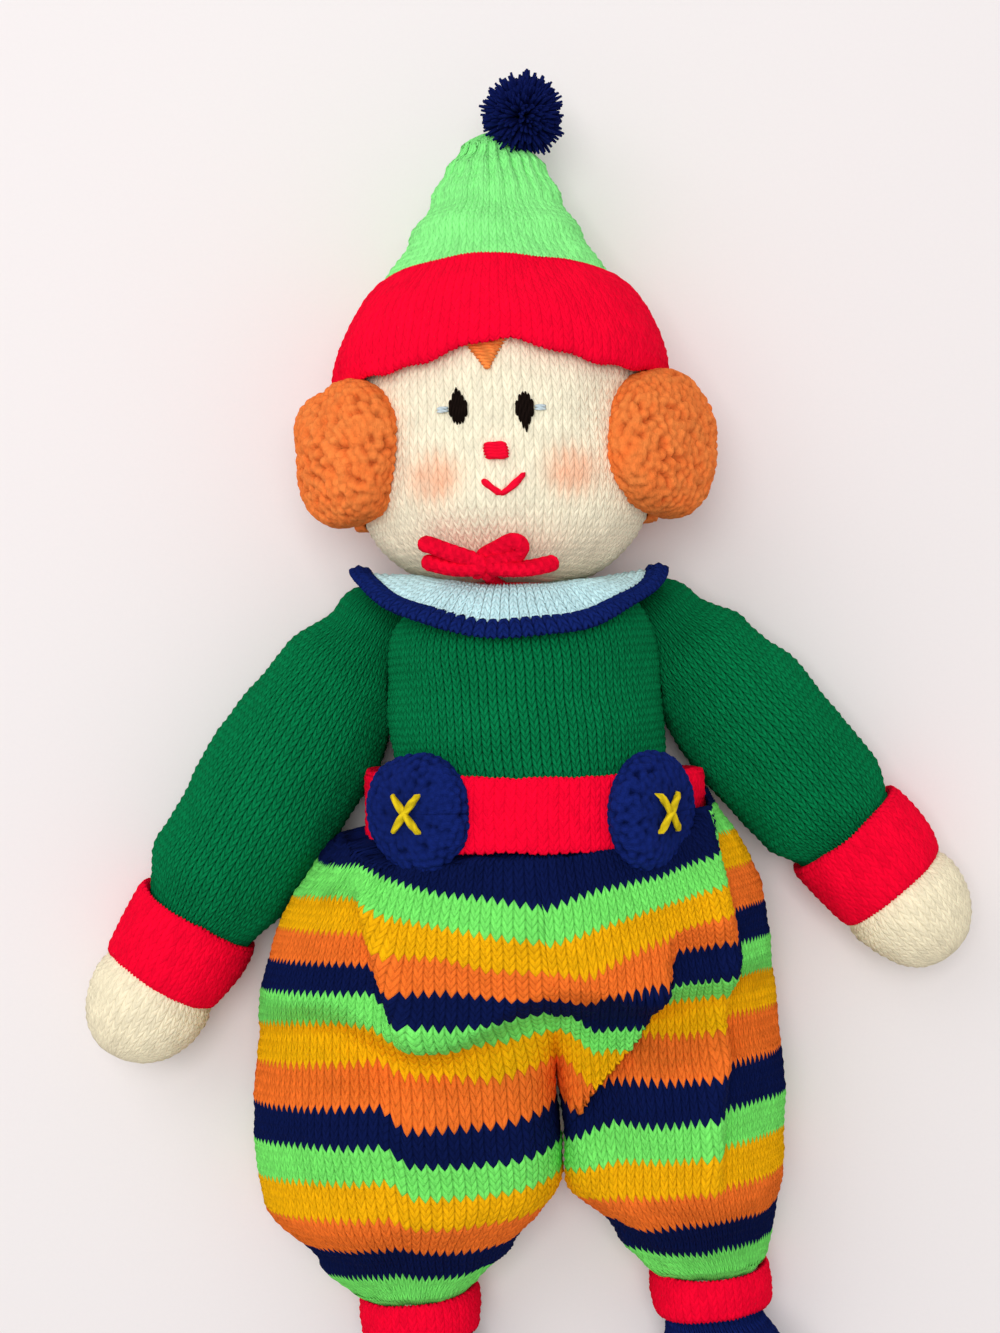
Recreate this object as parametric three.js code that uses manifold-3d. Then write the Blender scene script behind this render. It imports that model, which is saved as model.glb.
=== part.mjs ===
// A knitted clown doll lying on its back, in millimetres.
// +Z is up from the floor it lies on, +Y points to the head, and the origin is on the floor under the chest.
// Right and left are the doll's own: its right side is at -X.
import * as THREE from "three";
import { mergeVertices } from "three/addons/utils/BufferGeometryUtils.js";
import Module from "manifold-3d";

const wasm = await Module();
wasm.setup();

// Fabric and fits.
const KNIT = 2.2; // thickness of the knitted fabric
const GAP = 0.35; // clearance between pieces that touch
const YARN = 1.3; // thickness of an embroidered stitch
const LOOSE = 0.9; // clearance round the stuffing
const FLOOR_CUT = 0.5; // depth to which the weight flattens a piece on the floor

// How the doll lies.
const BODY_X = 2.5; // the body's centre line, where it passes the origin
const BODY_LEAN = 5; // degrees that the body's centre line leans
const HEAD_TILT = 2; // degrees that the head leans

// Torso, from the neck seam to the seat.
const TORSO_WIDTH = 79;
const TORSO_DEPTH = 68;
const TORSO_LENGTH = 122;
const NECK_Y = 33; // the neck seam
const NECK_X = -2.1; // how far the neck is sewn to the doll's right of the body's centre line
const BELLY_Y = -5; // the widest level
const NECK_RISE = 7; // how much higher the neck lies than the belly

// Head and hair.
const HEAD_WIDTH = 86;
const HEAD_DEPTH = 76;
const HEAD_HEIGHT = 88;
const CHEEK_HEIGHT = 35; // widest level above the neck seam
const HAIR_THICK = 3.2; // back of the hair
const PUFF_WIDTH = 31;
const PUFF_HEIGHT = 43;
const PUFF_DEPTH = 50;
const PUFF_FORWARD = 3; // the puff's centre, forward of the head's
const PUFF_OUT = 1; // the puff's centre, out from the side of the head
const PUFF_LEVEL = 41; // the puff's centre above the neck seam

// Face, measured from the neck seam and the head's centre line.
const FACE_X = -3.4; // the features lie a little to the doll's right
const FACE_LEAN = 0.08; // how far the features lean across for each millimetre up
const EYE_LEVEL = 46.3;
const EYE_SPACING = 17.8;
const EYE_WIDTH = 4.9;
const EYE_HEIGHT = 11;
const LASH_LENGTH = 3.2;
const LASH_HEIGHT = 1.5;
const NOSE_LEVEL = 35;
const NOSE_WIDTH = 6.4;
const NOSE_HEIGHT = 4.6;
const MOUTH_LEVEL = 23.4;
const MOUTH_RIGHT = 5.1; // reach of each end of the mouth
const MOUTH_LEFT = 6.7;
const MOUTH_RISE = 4.6;
const MOUTH_LINE = 1.6;
const FORELOCK_WIDTH = 11;
const FORELOCK_DROP = 5;

// Hat.
const BRIM_LEVEL = 58; // lower edge above the neck seam
const BRIM_HEIGHT = 28;
const BRIM_THICK = 3.4;
const BRIM_TILT = 8; // degrees that the brim is pushed back
const HAT_HEIGHT = 133; // tip of the crown above the neck seam
const HAT_SHOULDER = 32; // half width where the crown leaves the brim
const TIP_RADIUS = 4;
const TIP_DROP = 13; // how far the tip sags to the floor
const POMPOM_RADIUS = 11;
const POMPOM_X = 9; // the ball hangs beside the tip and a little in front of it
const POMPOM_FORWARD = 7;
const POMPOM_TIE = 1.6;

// Collar and the cord tied round the neck.
const COLLAR_INNER = 18.8;
const COLLAR_RADIUS = 41;
const COLLAR_FRONT_DROP = 13.5;
const COLLAR_FRONT_RISE = 29; // the front rim above the neck's middle
const COLLAR_SIDE_RISE = 3.5;
const EDGING = 2.2; // radius of the rolled edging
const CORD = 1.6; // radius of the cord
const KNOT_WIDTH = 10;
const KNOT_X = -3.5;
const LOOP_LENGTH = 23;
const TAIL_LENGTH = 20;
const HEAD_ROOM = 2.6; // room in front of the chin for the head to turn

// Arms. The right sleeve is the longer and fuller one, as its stuffing has settled differently.
const SHOULDER_SPREAD = 86.5;
const RIGHT_SHOULDER_LEVEL = 25;
const LEFT_SHOULDER_LEVEL = 19;
const SHOULDER_RADIUS = 12.5;
const SHOULDER_PLAY = 0.9; // room round the top of the arm for it to turn
const SHOULDER_RISE = 23; // height of the shoulder seam above the floor
const RIGHT_ARM_ANGLE = 31; // degrees out from straight down
const LEFT_ARM_ANGLE = 41;
const RIGHT_SLEEVE_LENGTH = 100;
const LEFT_SLEEVE_LENGTH = 82;
const RIGHT_SLEEVE_RADIUS = 23;
const LEFT_SLEEVE_RADIUS = 21.5;
const WRIST_RADIUS = 15;
const CUFF_LENGTH = 21;
const CUFF_RADIUS = 19.5;
const HAND_LENGTH = 27;
const HAND_RADIUS = 18.6;

// Trousers.
const WAIST_WIDE = 18; // how much wider than the torso the waistband stands
const WAIST_DEEP = 9; // and how much deeper
const BAND_HEIGHT = 21;
const BAND_THICK = 3;
const BAND_TOP = -22;
const BUTTON_RADIUS = 16.7;
const BUTTON_THICK = 7;
const BUTTON_ANGLE = 42; // degrees round the waist from the front
const CROSS_SIZE = 10;
const CROSS_LINE = 2;
const HIP_LEVEL = -93; // crease between the seat and the legs
const HIP_RISE = 50; // height of that crease above the floor
const SEAT_FRONT = 76; // height of the pouch over the belly
const LEG_FRONT = 62; // height of the trouser legs over the knees
const RIGHT_LEG_WIDTH = 88;
const LEFT_LEG_WIDTH = 69;
const ANKLE_LEVEL = -172;
const RIGHT_ANKLE_X = 47;
const LEFT_ANKLE_X = 40;

// Legs and boots.
const LEG_RADIUS = 16;
const ANKLE_RADIUS = 14;
const THIGH_X = 22;
const ANKLE_BAND_LENGTH = 12;
const ANKLE_BAND_THICK = 3.5;
const BOOT_LENGTH = 62;
const BOOT_WIDTH = 35;
const BOOT_HEIGHT = 34;
const BOOT_SPLAY = 18; // degrees that the toes fall outward

const BAND_WIDTH = TORSO_WIDTH + WAIST_WIDE;
const BAND_DEPTH = TORSO_DEPTH + WAIST_DEEP;

const RAD = Math.PI / 180;
const FAR = 400; // larger than the doll, for cutting blocks

// Joining and cutting.

function solid(geometry) {
  const bare = new THREE.BufferGeometry();
  bare.setAttribute("position", geometry.getAttribute("position"));
  bare.setIndex(geometry.getIndex());
  const merged = mergeVertices(bare, 1e-4);
  const mesh = new wasm.Mesh({
    numProp: 3,
    vertProperties: new Float32Array(merged.getAttribute("position").array),
    triVerts: new Uint32Array(merged.getIndex().array),
  });
  return new wasm.Manifold(mesh);
}

function placed(geometry, matrix) {
  return geometry.clone().applyMatrix4(matrix);
}

function block(x0, x1, y0, y1, z0, z1) {
  const box = new THREE.BoxGeometry(x1 - x0, y1 - y0, z1 - z0);
  box.translate((x0 + x1) / 2, (y0 + y1) / 2, (z0 + z1) / 2);
  return solid(box);
}

// A hollow's filling: its own form, drawn in toward a point inside it.
function drawnIn(geometry, centre, share) {
  const [x, y, z] = centre;
  return geometry.clone().translate(-x, -y, -z).scale(share, share, share).translate(x, y, z);
}

const underFloor = () => block(-FAR, FAR, -FAR, FAR, -FAR, 0);
const above = (y) => block(-FAR, FAR, y, FAR, -FAR, FAR);
const below = (y) => block(-FAR, FAR, -FAR, y, -FAR, FAR);

function addPiece(group, name, form, color) {
  const whole = form.decompose().sort((p, q) => q.volume() - p.volume())[0];
  const cut = whole.getMesh();
  const geometry = new THREE.BufferGeometry();
  geometry.setAttribute("position", new THREE.BufferAttribute(new Float32Array(cut.vertProperties), 3));
  geometry.setIndex(new THREE.BufferAttribute(new Uint32Array(cut.triVerts), 1));
  geometry.computeVertexNormals();
  const material = new THREE.MeshStandardMaterial({ color, roughness: 0.95, metalness: 0 });
  const mesh = new THREE.Mesh(geometry, material);
  mesh.name = name;
  group.add(mesh);
}

// Stuffed forms: rings in planes across Y, each with its centre and its half width and half depth.

const swell = (t, power) => Math.sqrt(Math.max(0, 1 - Math.abs(t) ** power));
const ease = (from, to, value) => THREE.MathUtils.smoothstep(value, from, to);

function loft(rings, sides, shape = roundSection) {
  const points = [];
  const faces = [];
  for (const ring of rings) {
    for (let k = 0; k < sides; k += 1) {
      const [x, z] = shape(ring, (2 * Math.PI * k) / sides);
      points.push(ring.x + x, ring.y, ring.z + z);
    }
  }
  const last = rings.length - 1;
  for (let r = 0; r < last; r += 1) {
    for (let k = 0; k < sides; k += 1) {
      const a = r * sides + k;
      const b = r * sides + ((k + 1) % sides);
      faces.push(a, a + sides, b, b, a + sides, b + sides);
    }
  }
  const bottom = points.length / 3;
  points.push(rings[0].x, rings[0].y, rings[0].z);
  points.push(rings[last].x, rings[last].y, rings[last].z);
  for (let k = 0; k < sides; k += 1) {
    const next = (k + 1) % sides;
    faces.push(bottom, k, next);
    faces.push(bottom + 1, last * sides + next, last * sides + k);
  }
  const geometry = new THREE.BufferGeometry();
  geometry.setAttribute("position", new THREE.Float32BufferAttribute(points, 3));
  geometry.setIndex(faces);
  return geometry;
}

function roundSection(ring, angle) {
  return [ring.a * Math.cos(angle), ring.b * Math.sin(angle)];
}

// A row of shares along a form, read smoothly between its stations.
function between(stations, t) {
  let i = 0;
  while (i < stations.length - 2 && t > stations[i + 1][0]) i += 1;
  const [t0, v0] = stations[i];
  const [t1, v1] = stations[i + 1];
  return v0 + (v1 - v0) * ease(t0, t1, t);
}

// Evenly turned steps from -1 to 1, closer together at the rounded ends.
function roundSteps(count) {
  const steps = [];
  for (let i = 0; i <= count; i += 1) steps.push(-Math.cos((Math.PI * i) / count));
  return steps;
}

const evenSteps = (count) => Array.from({ length: count + 1 }, (_, i) => i / count);

// A rounded form about a Y axis with its own widest level.
function plump(size, count, sides, grow) {
  const rings = roundSteps(count).map((t) => {
    const reach = (t < 0 ? size.down : size.up) + grow;
    const power = t > 0 && size.topPower ? size.topPower : size.power;
    const share = Math.max(0.02, swell(t, power));
    return {
      x: size.x,
      y: size.y + t * reach,
      z: size.z + (size.rise ? size.rise(size.y + t * reach) : 0),
      a: size.a * share + grow,
      b: size.b * share + grow,
    };
  });
  return loft(rings, sides);
}

// A round cord along a curve, closed or with rounded ends.
function cord(points, radius, steps, sides, closed) {
  const curve = new THREE.CatmullRomCurve3(points, closed);
  const frames = curve.computeFrenetFrames(steps, closed);
  const corners = [];
  const faces = [];
  const count = closed ? steps : steps + 1;
  for (let i = 0; i < count; i += 1) {
    const centre = curve.getPointAt(i / steps);
    const end = closed || (i > 0 && i < steps) ? 1 : 0.55;
    for (let k = 0; k < sides; k += 1) {
      const angle = (2 * Math.PI * k) / sides;
      const out = frames.normals[i].clone().multiplyScalar(Math.cos(angle));
      out.addScaledVector(frames.binormals[i], Math.sin(angle));
      out.multiplyScalar(radius * end).add(centre);
      corners.push(out.x, out.y, out.z);
    }
  }
  for (let i = 0; i < steps; i += 1) {
    const from = i * sides;
    const to = closed && i === steps - 1 ? 0 : from + sides;
    for (let k = 0; k < sides; k += 1) {
      const next = (k + 1) % sides;
      faces.push(from + k, from + next, to + k, from + next, to + next, to + k);
    }
  }
  if (!closed) {
    const first = corners.length / 3;
    const start = curve.getPointAt(0);
    const finish = curve.getPointAt(1);
    corners.push(start.x, start.y, start.z, finish.x, finish.y, finish.z);
    for (let k = 0; k < sides; k += 1) {
      const next = (k + 1) % sides;
      faces.push(first, next, k, first + 1, steps * sides + k, steps * sides + next);
    }
  }
  const geometry = new THREE.BufferGeometry();
  geometry.setAttribute("position", new THREE.Float32BufferAttribute(corners, 3));
  geometry.setIndex(faces);
  return geometry;
}

// A flat outline standing along Z, for cutting a stitch out of a skin.
function prism(outline, z0, z1) {
  const shape = new THREE.Shape(outline.map(([x, y]) => new THREE.Vector2(x, y)));
  const geometry = new THREE.ExtrudeGeometry(shape, { depth: z1 - z0, bevelEnabled: false });
  geometry.translate(0, 0, z0);
  return solid(geometry);
}

const doll = new THREE.Group();
doll.name = "clown_doll";

const body = new THREE.Group();
body.position.x = BODY_X;
body.rotation.z = BODY_LEAN * RAD;
body.updateMatrix();
doll.add(body);

// Torso: the green knitted body, laid a little higher where the trousers pass under it.

const torsoRise = (y) => {
  const trousersUnder = BAND_THICK + GAP;
  const neck = NECK_RISE * ease(BELLY_Y + 12, NECK_Y, y);
  return neck + trousersUnder * (1 - ease(BAND_TOP - 2, BAND_TOP + 9, y));
};

function torsoForm(grow, count = 9, sides = 20) {
  const size = {
    x: 0,
    y: BELLY_Y,
    z: TORSO_DEPTH / 2 - FLOOR_CUT,
    a: TORSO_WIDTH / 2,
    b: TORSO_DEPTH / 2,
    up: NECK_Y + 2 - BELLY_Y,
    down: TORSO_LENGTH - (NECK_Y - BELLY_Y),
    power: 3.2,
    topPower: 5,
    rise: torsoRise,
  };
  return plump(size, count, sides, grow);
}

const shoulderAt = (side) => {
  const level = side < 0 ? RIGHT_SHOULDER_LEVEL : LEFT_SHOULDER_LEVEL;
  return new THREE.Vector3((side * SHOULDER_SPREAD) / 2, level, SHOULDER_RISE);
};

// A ball about a shoulder whose flats lie outside the round top of the arm.
function shoulderBall(at, grow) {
  const flats = Math.cos(Math.PI / 14) * Math.cos(Math.PI / 20);
  const ball = new THREE.SphereGeometry((SHOULDER_RADIUS + grow) / flats, 14, 10);
  return solid(ball.translate(at.x, at.y, at.z));
}

const HEAD_Z = HEAD_DEPTH / 2 + GAP + HAIR_THICK - FLOOR_CUT;
// Stuffing stands up through the neck seam, and the head turns on it.
const NECK_POST = 9;
const neckPost = (grow, x, y) => {
  const post = new THREE.CylinderGeometry(NECK_POST + grow, NECK_POST + grow, 20 + 2 * grow, 12);
  return solid(post.translate(x, y, HEAD_Z));
};

{
  const openNeck = above(NECK_Y - GAP / 2);
  let cover = solid(torsoForm(0)).subtract(solid(torsoForm(-KNIT, 9, 12)));
  cover = cover.subtract(openNeck).subtract(neckPost(GAP, NECK_X, NECK_Y));
  for (const side of [-1, 1]) cover = cover.subtract(shoulderBall(shoulderAt(side), SHOULDER_PLAY));
  addPiece(body, "torso_cover", cover.subtract(underFloor()), 0x0a6b3c);

  const middle = [0, BELLY_Y - 10, TORSO_DEPTH / 2];
  const share = 1 - (2 * LOOSE) / TORSO_WIDTH;
  let filling = solid(drawnIn(torsoForm(-KNIT, 9, 12), middle, share)).subtract(openNeck);
  for (const side of [-1, 1]) filling = filling.subtract(shoulderBall(shoulderAt(side), SHOULDER_PLAY));
  filling = filling.add(neckPost(0, NECK_X, NECK_Y)).subtract(block(-FAR, FAR, -FAR, FAR, -FAR, KNIT + GAP));
  addPiece(body, "torso_stuffing", filling, 0xf4f2ec);
}

// Head, hair, face and hat share one group that turns at the neck seam.

const head = new THREE.Group();
head.position.copy(new THREE.Vector3(NECK_X, NECK_Y, 0).applyMatrix4(body.matrix));
head.rotation.z = HEAD_TILT * RAD;
head.updateMatrix();
doll.add(head);

function headForm(grow, count = 10, sides = 20) {
  const size = {
    x: 0,
    y: CHEEK_HEIGHT,
    z: HEAD_Z,
    a: HEAD_WIDTH / 2,
    b: HEAD_DEPTH / 2,
    up: HEAD_HEIGHT - CHEEK_HEIGHT,
    down: CHEEK_HEIGHT + 2,
    power: 4,
  };
  return plump(size, count, sides, grow);
}

const NECK_SLACK = GAP + HEAD_WIDTH * 0.22 * Math.sin((BODY_LEAN - HEAD_TILT) * RAD);

{
  const neckOpening = below(NECK_SLACK);
  const post = neckPost(2 * GAP + 0.6, 0, 0);
  const cover = solid(headForm(0)).subtract(solid(headForm(-KNIT, 8, 14)));
  addPiece(head, "head_cover", cover.subtract(neckOpening).subtract(post), 0xf8e9c7);
  const filling = solid(headForm(-KNIT - LOOSE, 8, 14)).subtract(below(NECK_SLACK));
  addPiece(head, "head_stuffing", filling.subtract(post), 0xf4f2ec);
}

// The brim is pushed back, so its edges lie in a tilted plane.
const brimPlane = new THREE.Matrix4()
  .makeTranslation(0, BRIM_LEVEL, HEAD_Z)
  .multiply(new THREE.Matrix4().makeRotationX(-BRIM_TILT * RAD));

function brimBand(inner, outer, low, high) {
  const slab = new THREE.BoxGeometry(FAR, high - low, FAR).translate(0, (low + high) / 2, 0);
  return outer.subtract(inner).intersect(solid(placed(slab, brimPlane)));
}

// Half width of the head at a level, for what sits on it.
const headHalf = (y) => {
  const reach = y < CHEEK_HEIGHT ? CHEEK_HEIGHT + 2 : HEAD_HEIGHT - CHEEK_HEIGHT;
  return (HEAD_WIDTH / 2) * swell(Math.min(1, Math.abs(y - CHEEK_HEIGHT) / reach), 4);
};

const DEPTH_SHARE = HEAD_DEPTH / HEAD_WIDTH;
const CROWN_BASE = BRIM_LEVEL + BRIM_HEIGHT - 10;

function crownHalf(t) {
  const base = headHalf(CROWN_BASE) + GAP + KNIT;
  const taper = between([[0.2, 1], [0.42, 0.78], [0.63, 0.54], [0.81, 0.38], [0.93, 0.2], [1, 0]], t);
  return TIP_RADIUS + (HAT_SHOULDER - TIP_RADIUS) * taper + (base - HAT_SHOULDER) * (1 - ease(0, 0.3, t));
}

function crownForm(grow, low) {
  const levels = [0, 0.2, 0.42, 0.63, 0.81, 0.93, 1];
  const rings = (low < 0 ? [low, ...levels] : levels).map((t) => {
    const half = crownHalf(Math.max(0, t));
    return {
      x: 0,
      y: CROWN_BASE + (HAT_HEIGHT - CROWN_BASE + grow) * t,
      z: HEAD_Z - TIP_DROP * ease(0.1, 1, t),
      a: half + grow,
      b: half * DEPTH_SHARE + grow,
    };
  });
  return solid(loft(rings, 18));
}

function brimForm(grow) {
  const rings = [-0.3, 0, 0.3, 0.6, 0.85, 1.1, 1.3].map((t) => {
    const y = BRIM_LEVEL + BRIM_HEIGHT * t;
    const crown = (y - CROWN_BASE) / (HAT_HEIGHT - CROWN_BASE);
    const half = Math.max(headHalf(y) + KNIT, crown > 0 ? crownHalf(crown) : 0) + GAP + BRIM_THICK;
    return { x: 0, y, z: HEAD_Z, a: half + grow, b: half * DEPTH_SHARE + grow };
  });
  return solid(loft(rings, 18));
}

{
  const headRoom = solid(headForm(GAP));
  const crown = crownForm(0, 0).subtract(crownForm(-KNIT, -0.05)).subtract(headRoom);
  addPiece(head, "hat_crown", crown.subtract(underFloor()), 0x86f088);
  const brim = brimBand(headRoom.add(crownForm(2 * GAP, -0.05)), brimForm(0), 0, BRIM_HEIGHT);
  addPiece(head, "hat_brim", brim.subtract(underFloor()), 0xf2062f);

  // Hair: two stuffed puffs sewn to the sides and a flat back, all cut by the head and the brim.
  const brimRoom = brimBand(solid(headForm(-KNIT)), brimForm(GAP), -GAP, BRIM_HEIGHT);
  const puff = (side, grow) => {
    const size = {
      x: side * (HEAD_WIDTH / 2 + PUFF_OUT),
      y: PUFF_LEVEL,
      z: HEAD_Z + PUFF_FORWARD,
      a: PUFF_WIDTH / 2,
      b: PUFF_DEPTH / 2,
      up: PUFF_HEIGHT / 2,
      down: PUFF_HEIGHT / 2,
      power: 3,
    };
    return solid(plump(size, 8, 14, grow));
  };
  for (const [side, name] of [[-1, "hair_puff_right"], [1, "hair_puff_left"]]) {
    addPiece(head, name, puff(side, 0).subtract(headRoom).subtract(brimRoom), 0xf27431);
  }
  let back = solid(headForm(GAP + HAIR_THICK)).subtract(headRoom).subtract(brimRoom);
  back = back.intersect(block(-FAR, FAR, CHEEK_HEIGHT / 2, FAR, -FAR, HEAD_Z - 2));
  back = back.subtract(above(BRIM_LEVEL + 2)).subtract(underFloor());
  for (const side of [-1, 1]) back = back.subtract(puff(side, GAP));
  addPiece(head, "hair_back", back, 0xd9601f);

  // Face: embroidered stitches, each a skin on the head's cover.
  const skin = solid(headForm(GAP + YARN)).subtract(headRoom);
  const onFace = (x, y) => [FACE_X + x - (y - NOSE_LEVEL) * FACE_LEAN, y - x * FACE_LEAN];
  const stitch = (name, outline, color) => {
    const front = prism(outline.map(([x, y]) => onFace(x, y)), HEAD_Z, FAR);
    addPiece(head, name, skin.intersect(front).subtract(brimRoom), color);
  };
  const eyeOutline = (x) => Array.from({ length: 12 }, (_, k) => {
    const angle = (2 * Math.PI * k) / 12;
    const slim = 1 - 0.3 * Math.abs(Math.sin(angle));
    return [x + (EYE_WIDTH / 2) * Math.cos(angle) * slim, EYE_LEVEL + (EYE_HEIGHT / 2) * Math.sin(angle)];
  });
  for (const [side, name] of [[-1, "right"], [1, "left"]]) {
    const x = (side * EYE_SPACING) / 2;
    const from = x + side * (EYE_WIDTH / 2 + GAP);
    const to = from + side * LASH_LENGTH;
    stitch(`eye_${name}`, eyeOutline(x), 0x170d0a);
    const low = EYE_LEVEL - LASH_HEIGHT / 2;
    const high = EYE_LEVEL + LASH_HEIGHT / 2;
    stitch(`eye_stitch_${name}`, [[from, low], [to, low], [to, high], [from, high]], 0xa9cfe6);
  }
  const noseOutline = Array.from({ length: 14 }, (_, k) => {
    const angle = (2 * Math.PI * k) / 14;
    const square = (value) => Math.sign(value) * Math.abs(value) ** 0.6;
    const x = (NOSE_WIDTH / 2) * square(Math.cos(angle));
    return [x, NOSE_LEVEL + (NOSE_HEIGHT / 2) * square(Math.sin(angle))];
  });
  stitch("nose", noseOutline, 0xf2062f);
  const smileLow = MOUTH_LEVEL + MOUTH_RISE;
  const smileHigh = smileLow + 0.4 * MOUTH_RISE;
  stitch("mouth", [
    [0, MOUTH_LEVEL - MOUTH_LINE / 2],
    [MOUTH_LEFT, smileHigh - MOUTH_LINE / 2],
    [MOUTH_LEFT, smileHigh + MOUTH_LINE],
    [0, MOUTH_LEVEL + MOUTH_LINE],
    [-MOUTH_RIGHT, smileLow + MOUTH_LINE],
    [-MOUTH_RIGHT, smileLow - MOUTH_LINE / 2],
  ], 0xf2062f);
  const fringe = BRIM_LEVEL + (HEAD_DEPTH / 2) * Math.tan(BRIM_TILT * RAD);
  const lock = FORELOCK_WIDTH / 2;
  stitch("forelock", [[-lock, fringe + 3], [0, fringe - FORELOCK_DROP], [lock, fringe + 3]], 0xf27431);

  // Pompom: a ball of cut yarn hung from the tip by its own tie.
  const tip = new THREE.Vector3(0, HAT_HEIGHT + GAP + POMPOM_TIE, HEAD_Z - TIP_DROP);
  const ballAt = new THREE.Vector3(POMPOM_X, POMPOM_TIE, POMPOM_FORWARD);
  const pompom = new THREE.Group();
  pompom.position.copy(tip);
  head.add(pompom);
  const ball = new THREE.SphereGeometry(POMPOM_RADIUS, 14, 9).translate(ballAt.x, ballAt.y, ballAt.z);
  const route = [new THREE.Vector3(0, 0, 0), ballAt.clone().multiplyScalar(0.5), ballAt];
  const tie = cord(route, POMPOM_TIE, 3, 6, false);
  const besideTip = crownForm(2 * GAP, 0).translate([-tip.x, -tip.y, -tip.z]);
  addPiece(pompom, "pompom", solid(ball).subtract(besideTip).add(solid(tie)), 0x141b58);
}

// Collar: a knitted ruff drawn in at the neck. Its front lies on the chest and its back on the floor.

const neck = new THREE.Group();
neck.position.copy(head.position);
neck.updateMatrix();
doll.add(neck);
const toNeck = neck.matrix.clone().invert().multiply(body.matrix);

function collarRim(angle) {
  const front = Math.cos(angle);
  const rise = front > 0 ? COLLAR_FRONT_RISE - COLLAR_SIDE_RISE : HEAD_Z + COLLAR_SIDE_RISE - EDGING - GAP;
  const drop = front > 0 ? COLLAR_FRONT_DROP + COLLAR_SIDE_RISE : 0;
  const level = COLLAR_SIDE_RISE - drop * Math.max(0, front) ** 1.4;
  return new THREE.Vector3(
    COLLAR_RADIUS * Math.sin(angle),
    level,
    HEAD_Z + COLLAR_SIDE_RISE + rise * front,
  );
}

function collarInner(angle) {
  return new THREE.Vector3(
    COLLAR_INNER * Math.sin(angle),
    -1.9,
    HEAD_Z + COLLAR_INNER * Math.cos(angle),
  );
}

function ruff(thick) {
  const around = 24;
  const across = 3;
  const points = [];
  const faces = [];
  for (const face of [0.5, -0.5]) {
    for (let i = 0; i < around; i += 1) {
      const angle = (2 * Math.PI * i) / around;
      for (let j = 0; j <= across; j += 1) {
        const at = collarInner(angle).lerp(collarRim(angle), j / across);
        points.push(at.x, at.y + face * thick, at.z);
      }
    }
  }
  const side = around * (across + 1);
  for (let i = 0; i < around; i += 1) {
    const row = i * (across + 1);
    const next = ((i + 1) % around) * (across + 1);
    for (let j = 0; j < across; j += 1) {
      faces.push(row + j, row + j + 1, next + j, next + j, row + j + 1, next + j + 1);
      const back = side + row + j;
      const beyond = side + next + j;
      faces.push(back, beyond, back + 1, beyond, beyond + 1, back + 1);
    }
    faces.push(row, next, side + row, next, side + next, side + row);
    const edge = row + across;
    const nextEdge = next + across;
    faces.push(edge, side + edge, nextEdge, nextEdge, side + edge, side + nextEdge);
  }
  const geometry = new THREE.BufferGeometry();
  geometry.setAttribute("position", new THREE.Float32BufferAttribute(points, 3));
  geometry.setIndex(faces);
  return solid(geometry);
}

{
  const torsoRoom = solid(placed(torsoForm(GAP), toNeck));
  const rim = Array.from({ length: 24 }, (_, i) => {
    const angle = (2 * Math.PI * i) / 24;
    const at = collarRim(angle);
    const out = at.clone().sub(collarInner(angle)).normalize();
    return at.addScaledVector(out, EDGING + 2 * GAP);
  });
  const edging = solid(cord(rim, EDGING, 24, 6, true));
  const collar = ruff(KNIT).subtract(torsoRoom);
  addPiece(neck, "collar", collar, 0xb0dff0);
  addPiece(neck, "collar_edging", edging.subtract(underFloor()), 0x16205c);

  // The cord runs round the neck inside the collar, comes out over its front and is tied in a bow.
  const toHeadFromNeck = neck.matrix.clone().invert().multiply(head.matrix);
  const chin = HEAD_Z + HEAD_DEPTH * 0.36;
  const knotAt = new THREE.Vector3(KNOT_X, 4, chin + 4.5);
  const p = (x, y, z) => new THREE.Vector3(knotAt.x + x, knotAt.y + y, knotAt.z + z);
  const ringRadius = COLLAR_INNER - GAP - CORD;
  const ring = Array.from({ length: 12 }, (_, i) => {
    const angle = (2 * Math.PI * i) / 12;
    return new THREE.Vector3(ringRadius * Math.sin(angle), -1.9, HEAD_Z + ringRadius * Math.cos(angle));
  });
  const strand = [ring[0].clone().setX(KNOT_X * 0.5), p(0, -3.5, -7), p(0, 0, 0)];
  const loop = (side, lift) => [
    p(0, 0, 0),
    p(side * LOOP_LENGTH * 0.4, 1 + lift * 0.6, 0.8),
    p(side * LOOP_LENGTH * 0.85, 3 + lift, -1.5),
    p(side * LOOP_LENGTH, 5 + lift, -2.2),
    p(side * LOOP_LENGTH * 0.85, 7.5 + lift, -1.2),
    p(side * LOOP_LENGTH * 0.35, 4.5 + lift * 0.6, 2),
    p(0, 0.5, 0.8),
  ];
  const tail = (side, drop) => [
    p(0, 0, 0),
    p(side * TAIL_LENGTH * 0.45, -1.5, 0),
    p(side * TAIL_LENGTH, drop, -3),
  ];
  const knot = new THREE.SphereGeometry(KNOT_WIDTH / 2, 10, 7).scale(1, 0.75, 0.7);
  let bow = solid(knot.translate(knotAt.x, knotAt.y, knotAt.z));
  bow = bow.add(solid(cord(ring, CORD, 12, 5, true)));
  bow = bow.add(solid(cord(strand, CORD, 3, 5, false)));
  for (const [side, lift, drop] of [[-1, 0.5, -2.5], [1, 1.5, -2]]) {
    bow = bow.add(solid(cord(loop(side, lift), CORD, 10, 5, false)));
    bow = bow.add(solid(cord(tail(side, drop), CORD, 3, 5, false)));
  }
  const headRoom = solid(placed(headForm(HEAD_ROOM), toHeadFromNeck)).subtract(below(NECK_SLACK - GAP));
  bow = bow.subtract(headRoom).subtract(ruff(KNIT + 2 * GAP)).subtract(torsoRoom);
  addPiece(neck, "neck_bow", bow, 0xf2062f);
}

// Arms: one knitted tube each, green to the wrist and cream for the hand, with a folded cuff over the change.

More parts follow.
